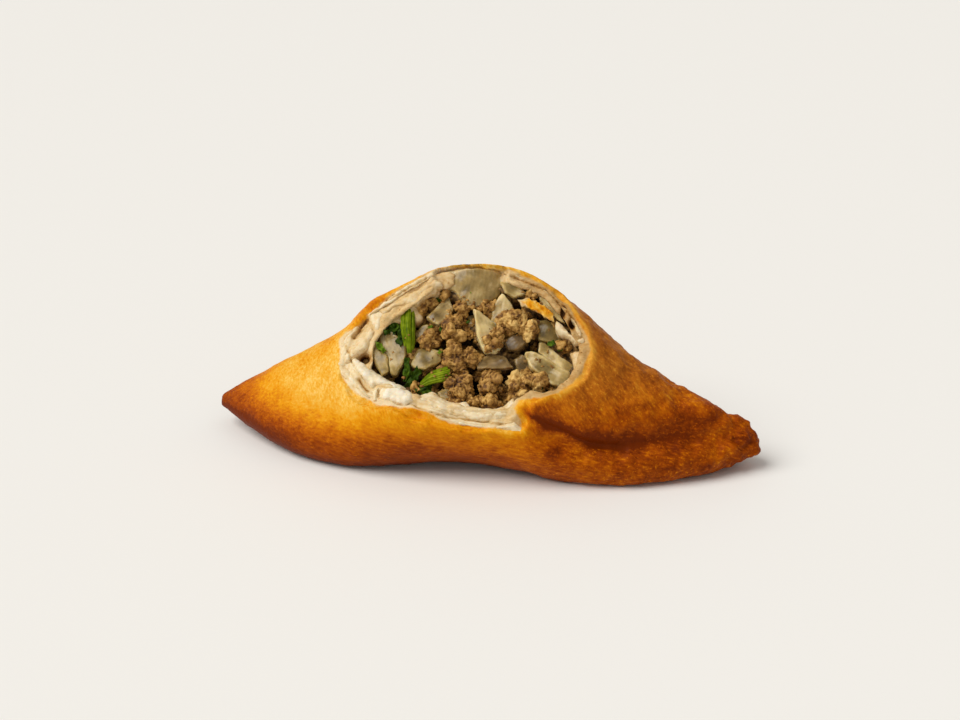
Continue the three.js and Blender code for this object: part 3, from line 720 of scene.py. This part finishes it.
# Petals: outline [across, up], depth of the face, slopes across and up, thickness, lines' turn, tint, light.
ONION_PETALS = [
    ([(-5, 16.9), (-0.5, 17.3), (4.7, 17.3), (8, 16.9), (8.4, 14.5), (7.8, 12.1), (6.2, 10.9), (4.1, 9.7),
      (2.1, 9), (0, 10.1), (-1.1, 11.7), (-1.9, 13.1), (-4.6, 12.7)], -0.8, 0.02, 0.16, 2.4, 80, 0.25,
      -0.02),
    ([(-7.8, 7.3), (-3.1, 12.1), (-1.9, 9.1), (-2.7, 7.9), (-5, 5.3), (-6.4, 6)], -2.2, 0.1, -0.25, 2.4, 45,
      0.3, 0.02),
    ([(-10.1, 4.6), (-8.7, 6.2), (-7.1, 6), (-6.8, 4.2), (-9.4, 2.8)], -4, 0.2, -0.1, 2, 60, 0, -0.1),
    ([(-10.9, -2.6), (-9.6, 0.8), (-7.9, 1.5), (-4.5, 0.1), (-4.4, -2.1), (-7.7, -3.9), (-10.1, -3.5)],
      -3.2, 0.1, -0.2, 2.6, 20, 0, -0.14),
    ([(2, 8.6), (3.6, 7.8), (8.4, 4.3), (8.5, 1.2), (6.9, -0.8), (4.3, -0.8), (2.8, 2.7), (2.6, 5.8)], -0.7,
      -0.2, 0.05, 2.4, 110, 0, 0.26),
    ([(5.5, 5.5), (6.2, 9.4), (8, 12.2), (9.5, 10.7), (10.9, 7.9), (8.4, 6.9), (6.9, 4.2)], -1, 0.15, 0.1,
      2.2, 80, 0.2, 0.06),
    ([(7.6, 14.2), (10.6, 13.8), (13.4, 11.7), (10.6, 10.9), (8.6, 12.1)], 0.2, 0, 0.2, 1.6, -25, 0, 0),
    ([(15.6, 11.3), (16.7, 10.9), (19.1, 8.2), (21.3, 5.2), (20.1, 5.5), (17.6, 7.7), (15.8, 10)], 0.2, 0.1,
      0.1, 1.6, -50, 0.2, 0),
    ([(2.8, -4.1), (3.2, -2), (5.8, -0.5), (8.4, -1.2), (10.6, -3.9), (6.9, -4.2)], -1.7, 0, -0.3, 2.2, 0,
      0.7, -0.16),
    ([(8.3, 1.8), (10.2, 3.3), (13.2, 3.3), (13.6, 2.2), (11.3, -0.2), (9.1, -0.2)], -1.5, 0, -0.2, 2.2, 30,
      0.8, -0.48),
    ([(12.5, -0.7), (14.2, -0.4), (16.8, -1.9), (21.9, -5.3), (22.1, -7.3), (20, -8.5), (18.1, -8.1),
      (13.8, -4.2)], 0.1, 0.02, -0.15, 2.6, -35, 0, 0.02),
    ([(15.6, 1.8), (17.2, 1.5), (19.4, -0.8), (23.2, -3.6), (22.7, -5.6), (21.1, -4.9), (17.9, -2.6),
      (15.6, -0.3)], -1.8, 0, -0.1, 2.4, -38, 0, 0.08),
    ([(15.4, 6.5), (17.3, 6.8), (19.3, 5.2), (20.8, 2.3), (19.1, 1.4), (15.6, 2.3)], -2.2, -0.1, 0, 2.4, 60,
      0, -0.16),
    ([(-19.5, 2.3), (-18.7, 3.5), (-17.7, 1.2), (-15.7, -0.5), (-15.4, -4), (-16.8, -4.9), (-18.4, -2)],
      -4.9, 0.3, 0, 1.9, 105, 0, -0.12),
    ([(-18.3, 5.5), (-16.2, 5.8), (-14, 4.2), (-11.7, 1.8), (-11.9, -1.3), (-13.8, -5), (-15, -4.5),
      (-16, -0.6), (-17.7, 2.5)], -4.5, 0.28, 0, 2.2, 110, 0, -0.17),
    ([(0.8, 7.9), (2.8, 8.5), (3.1, 5.5), (1.2, 5.7)], -3.5, 0, 0, 1.8, 90, 0.5, -0.1),
    ([(10.5, -1.7), (12.4, -0.4), (13.7, -2.8), (13.3, -4.9), (10.9, -4)], -2.7, 0, 0, 2, 70, 0.6, -0.2),
    ([(-5.4, -8.9), (-2.7, -7.5), (-1, -9), (-1.9, -11.1), (-4.5, -10.3)], -2.2, 0, -0.2, 1.6, 10, 0.2,
      -0.1),
]
PETAL_BOW = 0.05
PETAL_CUP = 0.012
PETAL_ROUNDS = 8
# Darker places in the petals, where the onion is clearer, and on the top petal also painted shade: [across,
# up], reach in mm, and how much darker.
CLEAR_AND_SHADED_PLACES = [(1.3, 15.2, 2, 0.2), (-5.5, 8.2, 1.6, 0.14), (-7.6, -1.2, 1.8, 0.08), (5.9, 15.6, 1.6, 0.08)]
petals = []
for number, petal_row in enumerate(ONION_PETALS):
    outline, depth, slope_across, slope_up, thickness, turned, tint, light = petal_row
    petal = slab(outline, thickness, ONION_VOXEL)
    flat = averaged(petal, points_of(petal), PETAL_ROUNDS)
    inward = to_edge(flat, outline)
    aside = flat[:, :2] - np.mean(outline, axis=0)
    line_way = np.array([math.cos(math.radians(turned)), math.sin(math.radians(turned))])
    over_lines = aside @ np.array([-line_way[1], line_way[0]])
    flat[:, 2] += depth + aside @ (slope_across, slope_up)
    flat[:, 2] -= PETAL_BOW * over_lines ** 2 + PETAL_CUP * (aside @ line_way) ** 2
    flat[:, 2] += 0.5 * cloud(flat, 3, 31 + number) + 0.08 * cloud(flat, 1, 51 + number)
    flat[:, :2] += 0.22 * drift(flat, 1.4, 61 + number, 91 + number)
    move_points(petal, on_mouth(flat))
    keep_value(petal, "lines", over_lines)
    lightness = light + 0.2 * ease(0.8, 0.1, inward) + 0.36 * cloud(flat, 2.2, 71 + number)
    for *spot, reach, darker in CLEAR_AND_SHADED_PLACES:
        lightness -= darker * closeness(flat[:, 0], flat[:, 1], (*spot, reach, reach))
    keep_value(petal, "light", lightness)
    keep_value(petal, "tint", tint)
    petals.append(petal)
onion = joined(petals, "onion_petals")
sheet, place = new_finish(onion, "cooked_onion")
lines = place.value("lines")
wisp = place.speckle(3.2, 3)
fleck = place.speckle(0.7, 3)
ribs = lines.maths("SINE", lines * 8 + 7 * wisp)
onion_tone = 0.47 + 0.025 * ribs + 0.9 * (wisp - 0.5) + 0.4 * (fleck - 0.5) + place.value("light")
pale_onion = onion_tone.toned([
    (0.1, (0.17, 0.115, 0.03)),
    (0.5, (0.41, 0.29, 0.095)),
    (0.9, (0.74, 0.59, 0.29)),
])
red_onion = onion_tone.toned([
    (0.1, (0.13, 0.075, 0.028)),
    (0.5, (0.3, 0.19, 0.082)),
    (0.9, (0.53, 0.39, 0.22)),
])
close_finish(sheet, {
    "Base Color": place.value("tint").mixed(pale_onion, red_onion),
    "Roughness": 0.2 + 0.2 * wisp,
    "Normal": (0.5 * ribs + 2 * fleck).bumped(0.14, 0.1),
    "Specular IOR Level": 0.4,
    "Subsurface Weight": 0.8,
    "Subsurface Radius": (1.0, 0.8, 0.5),
    "Subsurface Scale": 1.4 * MM,
})
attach(onion, "root")

# Herb stems
# Cut lengths of fresh coriander stem, in two small bundles of thin green strands, ribbed lengthways.
# They were chopped into the filling and lie wedged between the onion, the crumbs and the dough.
# Strands: the points [across, up, out, half width] from end to end.
HERB_STEMS = [
    [(-12.4, 9.7, -3.8, 0.5), (-12.4, 6.5, -3.1, 0.66), (-12.1, 3.6, -3.1, 0.6), (-11.8, 1.4, -3.4, 0.4)],
    [(-11.4, 8.9, -3.3, 0.6), (-11.5, 5, -2.5, 0.74), (-11.2, 2, -2.6, 0.7), (-11.1, -0.3, -3.3, 0.45)],
    [(-10.5, 9.3, -3.8, 0.45), (-10.6, 5, -3, 0.6), (-10.5, 2.2, -3, 0.6), (-10.6, 0.4, -3.5, 0.4)],
    [(-8.5, -6.9, -3.1, 0.4), (-7, -5.5, -2.4, 0.56), (-5, -4.7, -2, 0.64), (-3.2, -4.1, -2, 0.55)],
    [(-8.7, -7.2, -3, 0.4), (-7, -6.1, -2, 0.6), (-5, -5.5, -1.6, 0.7), (-2.7, -4.9, -1.6, 0.64)],
    [(-8.7, -7.5, -3, 0.4), (-7, -6.8, -2.2, 0.56), (-5, -6.4, -1.8, 0.66), (-3, -6, -1.9, 0.55)],
]
STEM_EDGE = math.radians(60)


def strand(points):
    line = bpy.data.curves.new("strand", "CURVE")
    line.dimensions = "3D"
    line.bevel_depth = MM
    line.bevel_resolution = 5
    line.use_fill_caps = True
    spline = line.splines.new("NURBS")
    spline.points.add(len(points) - 1)
    places = on_mouth([p[:3] for p in points]) * MM
    for knot, place, point in zip(spline.points, places, points):
        knot.co = (*place, 1)
        knot.radius = point[3]
    spline.use_endpoint_u = True
    spline.order_u = 3
    piece = bpy.data.objects.new("strand", line)
    bpy.context.collection.objects.link(piece)
    alone(piece)
    bpy.ops.object.convert(target="MESH")
    return bpy.context.object


stem_pieces = []
for number, points in enumerate(HERB_STEMS):
    stem = strand(points)
    tube = points_of(stem)
    ends = on_mouth([points[0][:3], points[-1][:3]])
    way = (ends[1] - ends[0]) / np.linalg.norm(ends[1] - ends[0])
    side = np.cross(way, MOUTH_OUT)
    side /= np.linalg.norm(side)
    front = np.cross(side, way)
    knots = on_mouth([p[:3] for p in points])
    reach = (tube - ends[0]) @ way
    axis = np.column_stack([np.interp(reach, (knots - ends[0]) @ way, knots[:, k]) for k in range(3)])
    stem_turn = np.arctan2((tube - axis) @ front, (tube - axis) @ side)
    ridges = 1 + 0.09 * np.cos(5 * stem_turn + number) + 0.06 * np.cos(8 * stem_turn + 2 * number)
    tube = axis + ridges[:, None] * (tube - axis)
    to_end = np.minimum(reach, reach.max() - reach)
    ragged = 0.5 * cloud(tube, 0.9, 181 + number) * ease(0.4, 0, to_end)
    tube += ragged[:, None] * way
    move_points(stem, tube)
    keep_value(stem, "turn", stem_turn)
    stem_pieces.append(stem)
stems = joined(stem_pieces, "herb_stems")
bpy.ops.object.shade_smooth_by_angle(angle=STEM_EDGE)
sheet, place = new_finish(stems, "green_stem")
round_stem = place.value("turn")
ribbing = round_stem.maths("SINE", round_stem * 8 + 3 * place.speckle(3))
stem_tone = 0.5 + 0.16 * ribbing + 1.1 * (place.speckle(2.4, 3) - 0.5) + 0.3 * (place.speckle(0.6) - 0.5)
stem_colour = stem_tone.toned([
    (0.1, (0.03, 0.065, 0.001)),
    (0.5, (0.13, 0.19, 0.002)),
    (0.9, (0.33, 0.4, 0.02)),
])
close_finish(sheet, {
    "Base Color": stem_colour,
    "Roughness": 0.35 + 0.15 * place.speckle(1),
    "Specular IOR Level": 0.06,
})
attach(stems, "root")

# Herb leaves
# Chopped coriander leaf, thin, dark and curled by the heat, that was stirred into the filling.
# Small flecks of it are stuck to the onion, the crumbs and the dough.
# Leaves: the middle [across, up, out], length, width, turn, brightness.
HERB_LEAVES = [
    (-15.1, 5.2, -4.6, 3.6, 2.2, 20, 0), (-12.8, 3.4, -3.9, 3.8, 2.2, 70, 0),
    (-14, 5.6, -4.2, 2.8, 2, -30, 0.2), (-17.2, 1.3, -4.3, 2.9, 1.3, -48, 0.7),
    (-9.9, -4.9, -3.6, 3.8, 2, 60, 0), (-8.2, -7.6, -3.2, 4.4, 2.4, 20, 0),
    (-11.6, -4.6, -4, 3.6, 1.8, 85, 0.3), (-7.5, -9, -2.2, 2.2, 1.2, 15, 0.3),
    (18.2, 1.2, -1.2, 1.9, 1.3, 10, 0.5), (-11.7, -3.4, -3.9, 5.2, 1.5, 86, 0.2),
    (-10.6, -6.2, -3.8, 3.4, 1.6, 40, 0), (20.2, 0.4, -1.4, 1.8, 1.3, 60, 0),
    (-4.7, -0.3, -1.7, 1.4, 0.8, 50, 0.8), (1.6, 12.4, -1.2, 1.1, 0.5, 80, 0.6),
    (-6.8, 5.2, -2.6, 1.3, 0.8, 20, 0.6), (-4.6, 4.7, -1.9, 1.6, 0.8, 80, 0.2),
    (5, 1, -0.4, 0.9, 0.5, 0, 0.7), (16.1, -8.7, -0.2, 0.8, 0.5, 40, 0.6),
    (-5.2, 11.6, -3.4, 1.8, 0.9, -50, 0.1), (1, 5.9, -1.3, 1, 0.6, 30, 0.1),
    (-15.4, 9, -3.6, 0.9, 0.5, 20, 0.7),
]
LEAF_VOXEL = 0.15
LEAF_THICK = 0.4
LEAF_CORNERS = 18
LEAF_ROUNDS = 2
leaves = []
for number, (across, up, out, length, width, turned, bright) in enumerate(HERB_LEAVES):
    angles = np.linspace(0, 2 * np.pi, LEAF_CORNERS, endpoint=False)
    lobes = 1 + 0.2 * np.cos(5 * angles + number) + 0.12 * np.cos(8 * angles + 2 * number)
    outline = np.column_stack([0.5 * length * lobes * np.cos(angles), 0.5 * width * lobes * np.sin(angles)])
    leaf = slab(outline.tolist(), LEAF_THICK, LEAF_VOXEL)
    flat = averaged(leaf, points_of(leaf), LEAF_ROUNDS)
    flat[:, 2] += 0.3 * length * cloud(flat * (1, 1, 0), 0.4 * length, 121 + number)
    flat[:, 2] += 0.16 * length * cloud(flat * (1, 1, 0), 0.2 * length, 151 + number)
    spin = math.radians(turned)
    placed = np.column_stack([
        across + flat[:, 0] * math.cos(spin) - flat[:, 1] * math.sin(spin),
        up + flat[:, 0] * math.sin(spin) + flat[:, 1] * math.cos(spin),
        out + flat[:, 2],
    ])
    move_points(leaf, on_mouth(placed))
    keep_value(leaf, "bright", bright)
    leaves.append(leaf)
herb = joined(leaves, "herb_leaves")
sheet, place = new_finish(herb, "dark_leaf")
leaf_tone = 0.33 + 0.45 * place.value("bright") + 0.9 * (place.speckle(1.6, 3) - 0.5)
leaf_tone = leaf_tone + 0.6 * (place.speckle(0.5, 2) - 0.5)
leaf_colour = leaf_tone.toned([
    (0.1, (0.006, 0.018, 0.001)),
    (0.5, (0.045, 0.09, 0.003)),
    (0.9, (0.19, 0.3, 0.012)),
])
close_finish(sheet, {
    "Base Color": leaf_colour,
    "Roughness": 0.4 + 0.2 * place.speckle(1.2),
    "Specular IOR Level": 0.1,
})
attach(herb, "root")

# Mince
# Fried minced meat in crumbs of many grains stuck together, browned on the outside and moist.
# Loose grains of it lie on the onion and the leaves.
MINCE_VOXEL = 0.21
# Crumbs: [across, up, out, radius, paleness] in mm from the middle of the bite.
MINCE_CRUMBS = [
    (-1.5, 5.1, -3.2, 3.2, 0.3), (-7, 2.6, -3.7, 1.9, 0.4), (-1.8, -1.4, -3.3, 2.9, 0.4),
    (1.4, -1.5, -2.1, 1.7, 0.4), (-0.7, -7.7, -3, 2.7, -0.3), (5.8, -7.2, -2.4, 2.6, -0.1),
    (2.5, -10.9, -2.2, 1.8, 0), (12.2, -7.9, -1.8, 2.9, 1.4), (15.7, -7.6, -1.6, 2.3, 1.4),
    (9.7, 5.9, -1.9, 2.3, 1.6), (13, 4.8, -1.8, 2.3, 1.6), (6.6, 1, -1.1, 1.1, 1.3),
    (5.3, 0.2, -0.8, 0.8, 1.2), (7.4, 2.3, -1, 1, 1.1), (6.3, 2.9, -0.5, 0.7, 1),
    (4.6, 1.8, -0.3, 0.6, 0.9), (7.7, 4, -1, 0.9, 1.1), (-9.3, -8.1, -3.8, 1.2, 0.4),
    (18, -9.3, -1.3, 1, 0.4), (14.2, 11.9, -0.5, 1.4, 0.9), (-0.4, 9.7, -2.1, 1.3, 0),
    (-6.9, 11.1, -5.2, 1.9, 0.1), (5.9, -11.5, -1.6, 1.5, 0), (4.5, 9.3, -2, 1.2, 0),
    (14, 8.7, -3.2, 1.8, 0), (-2.6, -10.9, -2.5, 1.3, 0.2), (20.9, 0.7, -2.4, 1.3, 0.1),
    (10.2, -10, -3, 1.5, 0.1), (-4.6, -4.8, -5, 1.8, 0.1), (3.6, -4.4, -5.4, 1.6, -0.3),
    (1.8, 9.6, -2.2, 1, 0), (0.9, 4, -3.6, 1.3, 0.3), (-0.3, 8.1, -3.3, 1.2, 0.3),
]
BODIES_PER_CRUMB = 4
LUMPS_PER_CRUMB = 6
SMALL_CRUMBS = 160
GRAINS_PER_CRUMB = 8
LOOSE_GRAINS = 60
# Rounds of averaging that run the lumps of a crumb together, and that find its crevices, which are painted
# dark as shade.
CRUMB_ROUNDS = 9
CREVICE_ROUNDS = 14
# The oval that the bite leaves open: its middle [across, up] and reach across and up.
OPEN_OVAL = (1.5, 1, 19.5, 12)
chance = np.random.default_rng(7)


def filling_surfaces():
    pieces = (core, mince, onion, herb, stems)
    return [surface(piece, np.ones(len(piece.data.polygons), dtype=bool)) for piece in pieces]


def ball(rounds):
    bpy.ops.object.select_all(action="DESELECT")
    bpy.ops.mesh.primitive_ico_sphere_add(subdivisions=rounds, radius=MM)
    piece = bpy.context.object
    shape = points_of(piece)
    faces = np.array([tuple(f.vertices) for f in piece.data.polygons])
    bpy.data.objects.remove(piece)
    return shape, faces


def gather(name, shapes):
    points = np.concatenate([shape for shape, _ in shapes])
    starts = np.cumsum([0] + [len(shape) for shape, _ in shapes[:-1]])
    faces = np.concatenate([faces + start for (_, faces), start in zip(shapes, starts)])
    mesh = bpy.data.meshes.new(name)
    mesh.from_pydata((points * MM).tolist(), [], faces.tolist())
    piece = bpy.data.objects.new(name, mesh)
    bpy.context.collection.objects.link(piece)
    return piece


lump_shape, lump_faces = ball(3)
grain_shape, grain_faces = ball(2)
lump_places = []
lump_pales = []


def lump(spot, size, paleness):
    lump_places.append(spot)
    lump_pales.append(paleness + chance.uniform(-0.3, 0.3))
    shape = size * chance.uniform(0.75, 1.3, 3) * lump_shape
    shape += 0.7 * size * cloud(spot + shape, 1.1 * size, 23)[:, None] * lump_shape
    return spot + shape, lump_faces


def grain(spot, size):
    lump_places.append(spot)
    lump_pales.append(chance.uniform(-0.3, 0.6))
    dents = chance.uniform(0.6, 1.3, (len(grain_shape), 1))
    return spot + size * chance.uniform(0.4, 1.6, 3) * dents * grain_shape, grain_faces


def crumb(middle, radius, paleness):
    ways = chance.normal(size=(BODIES_PER_CRUMB + LUMPS_PER_CRUMB, 3))
    ways *= radius / np.linalg.norm(ways, axis=1)[:, None]
    shapes = []
    for way in ways[:BODIES_PER_CRUMB]:
        shapes.append(lump(middle + 0.4 * way, radius * chance.uniform(0.5, 0.72), paleness))
    for way in ways[BODIES_PER_CRUMB:]:
        spot = middle + chance.uniform(0.6, 0.9) * way
        shapes.append(lump(spot, radius * chance.uniform(0.2, 0.38), paleness))
    return shapes


def dropped(spots, surfaces):
    """Where things that fall on the filling come to lie: the number of the surface, and the place."""
    for across, up in spots:
        start = Vector(on_mouth([(across, up, 20)])[0])
        hits = [tree.ray_cast(start, -MOUTH_OUT)[0] for tree in surfaces]
        heights = [from_mouth(np.array(hit))[2] if hit else -99 for hit in hits]
        topmost = int(np.argmax(heights))
        if hits[topmost]:
            yield topmost, np.array(hits[topmost])


def scattered(middles, least, most):
    bearings = chance.uniform(0, 2 * np.pi, len(middles))
    reach = np.sqrt(chance.uniform(least ** 2, most ** 2, len(middles)))
    ways = np.column_stack([np.cos(bearings), np.sin(bearings)])
    return middles[:, :2] + (middles[:, 2:] * ways) * reach[:, None]


shapes = []
for (*_, radius, paleness), middle in zip(MINCE_CRUMBS, on_mouth([c[:3] for c in MINCE_CRUMBS])):
    shapes += crumb(middle, radius, paleness)
mince = gather("mince_crumbs", shapes)
# Smaller crumbs lie in the gaps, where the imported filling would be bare.
mouth_oval = np.tile(OPEN_OVAL, (SMALL_CRUMBS, 1))
small_shapes = []
small_spots = scattered(mouth_oval, 0, 1)
for topmost, spot in dropped(small_spots[gap_share(small_spots) < 0.4], filling_surfaces()):
    if topmost == 0:
        small_shapes += crumb(spot, chance.uniform(0.7, 1.3), chance.uniform(0, 0.5))
mince = joined([mince, gather("small_crumbs", small_shapes)], "mince_crumbs")
remesh(mince, MINCE_VOXEL)
move_points(mince, averaged(mince, points_of(mince), CRUMB_ROUNDS))
mince_points = points_of(mince)
mince_relief = 0.42 + 0.7 * cloud(mince_points, 2.4, 20) - 0.8 * np.abs(cloud(mince_points, 1.5, 22))
mince_relief += 0.4 * cloud(mince_points, 0.9, 23) + 0.35 * cloud(mince_points, 0.5, 25)
mince_relief += 0.35 * cloud(mince_points, 0.36, 24)
mince_points += mince_relief[:, None] * normals_of(mince)
move_points(mince, mince_points)
# Loose grains lie round each crumb and here and there on the onion and the leaves.
crumb_rounds = np.repeat([(c[0], c[1], c[3], c[3]) for c in MINCE_CRUMBS], GRAINS_PER_CRUMB, axis=0)
spots = np.concatenate([scattered(crumb_rounds, 0.8, 1.4), scattered(mouth_oval[:LOOSE_GRAINS], 0, 1)])
grains = [grain(spot, chance.uniform(0.1, 0.36)) for _, spot in dropped(spots, filling_surfaces())]
crumb_count = len(mince_points)
mince = joined([mince, gather("loose_grains", grains)], "mince_crumbs")
bpy.ops.object.shade_smooth()
mince_points = points_of(mince)
mince_wide = averaged(mince, mince_points, CREVICE_ROUNDS)
mince_crease = np.sum((mince_wide - mince_points) * normals_of(mince), axis=1)
mince_crease[crumb_count:] = 0
nearest = KDTree(len(lump_places))
for number, spot in enumerate(lump_places):
    nearest.insert(spot, number)
nearest.balance()
keep_value(mince, "crease", np.clip(mince_crease, -0.15, 0.4))
keep_value(mince, "pale", np.array([lump_pales[nearest.find(p)[1]] for p in mince_points.tolist()]))
sheet, place = new_finish(mince, "fried_mince")
speck = place.speckle(0.5, 4, roughness=0.65)
blotch = place.speckle(2.6, 3)
mince_tone = 0.44 + 1.1 * (speck - 0.5) + 0.8 * (blotch - 0.5) + 0.3 * (place.value("pale") - 0.3)
# Painted shade in the crevices and painted light on the bumps.
mince_tone = mince_tone - 1.1 * place.value("crease")
mince_colour = mince_tone.toned([
    (0.05, (0.06, 0.019, 0.003)),
    (0.35, (0.255, 0.115, 0.018)),
    (0.6, (0.49, 0.265, 0.06)),
    (0.95, (0.75, 0.49, 0.16)),
])
close_finish(sheet, {
    "Base Color": mince_colour,
    "Roughness": 0.42 + 0.3 * speck,
    "Normal": speck.bumped(0.7, 0.25),
    "Specular IOR Level": 0.35,
})
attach(mince, "root")

# Crust flake
# A splinter of browned skin with a little pale dough on it, of the same fried dough as the parcel.
# It broke off at the bite and lies loose on the filling, at the upper right.
FLAKE_OUTLINE = [(11.5, 10.3), (13.9, 10.4), (16.9, 8.8), (18.8, 6.9), (18.7, 5.4), (17.6, 5.8), (15.8, 7.1),
                 (13.5, 8.5), (11.8, 9)]
FLAKE_THICK = 0.7
FLAKE_VOXEL = 0.18
FLAKE_ROUNDS = 2
flake = slab(FLAKE_OUTLINE, FLAKE_THICK, FLAKE_VOXEL)
flat = averaged(flake, points_of(flake), FLAKE_ROUNDS)
inward = to_edge(flat, FLAKE_OUTLINE)
flat[:, 2] += 0.6 + 0.4 * cloud(flat, 1.7, 24) + 0.2 * cloud(flat, 0.6, 28) - 0.03 * (flat[:, 0] - 15) ** 2
flat[:, :2] += 0.4 * drift(flat, 0.9, 25, 26)
move_points(flake, on_mouth(flat))
flake.name = "crust_flake"
flake.data.materials.append(crust.data.materials[0])
keep_value(flake, "rim", inward - 0.05 - 0.6 * ease(14, 12, flat[:, 0]))
keep_value(flake, "brown", 0.27 + 0.4 * cloud(flat, 0.9, 27))
keep_value(flake, "pale", 0.5)
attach(flake, "root")

# Floor and light
# A plain pale table under one very wide soft light from the upper left, in a bright room.
TABLE_SIZE = 12
TABLE_DROP = 0.02
TABLE_COLOUR = (0.86, 0.86, 0.85, 1)
LIGHT_FROM = Vector((-0.55, -0.3, 0.78))
LIGHT_POWER = 2.4
LIGHT_SPREAD = math.radians(45)
LIGHT_COLOUR = (1, 0.97, 0.92)
ROOM_COLOUR = (1, 0.96, 0.9, 1)
ROOM_POWER = 0.45
bpy.ops.object.select_all(action="DESELECT")
bpy.ops.mesh.primitive_plane_add(size=TABLE_SIZE, location=(0, 0, -TABLE_DROP * MM))
floor = bpy.context.object
floor.name = "table"
sheet, place = new_finish(floor, "pale_table")
close_finish(sheet, {"Base Color": TABLE_COLOUR, "Roughness": 0.7})
bpy.ops.object.light_add(type="SUN", rotation=LIGHT_FROM.to_track_quat("Z", "Y").to_euler())
key = bpy.context.object
key.data.energy = LIGHT_POWER
key.data.angle = LIGHT_SPREAD
key.data.color = LIGHT_COLOUR
world = bpy.data.worlds.new("room")
world.use_nodes = True
background = world.node_tree.nodes["Background"]
background.inputs["Color"].default_value = ROOM_COLOUR
background.inputs["Strength"].default_value = ROOM_POWER
bpy.context.scene.world = world
bpy.context.scene.view_settings.view_transform = "Standard"
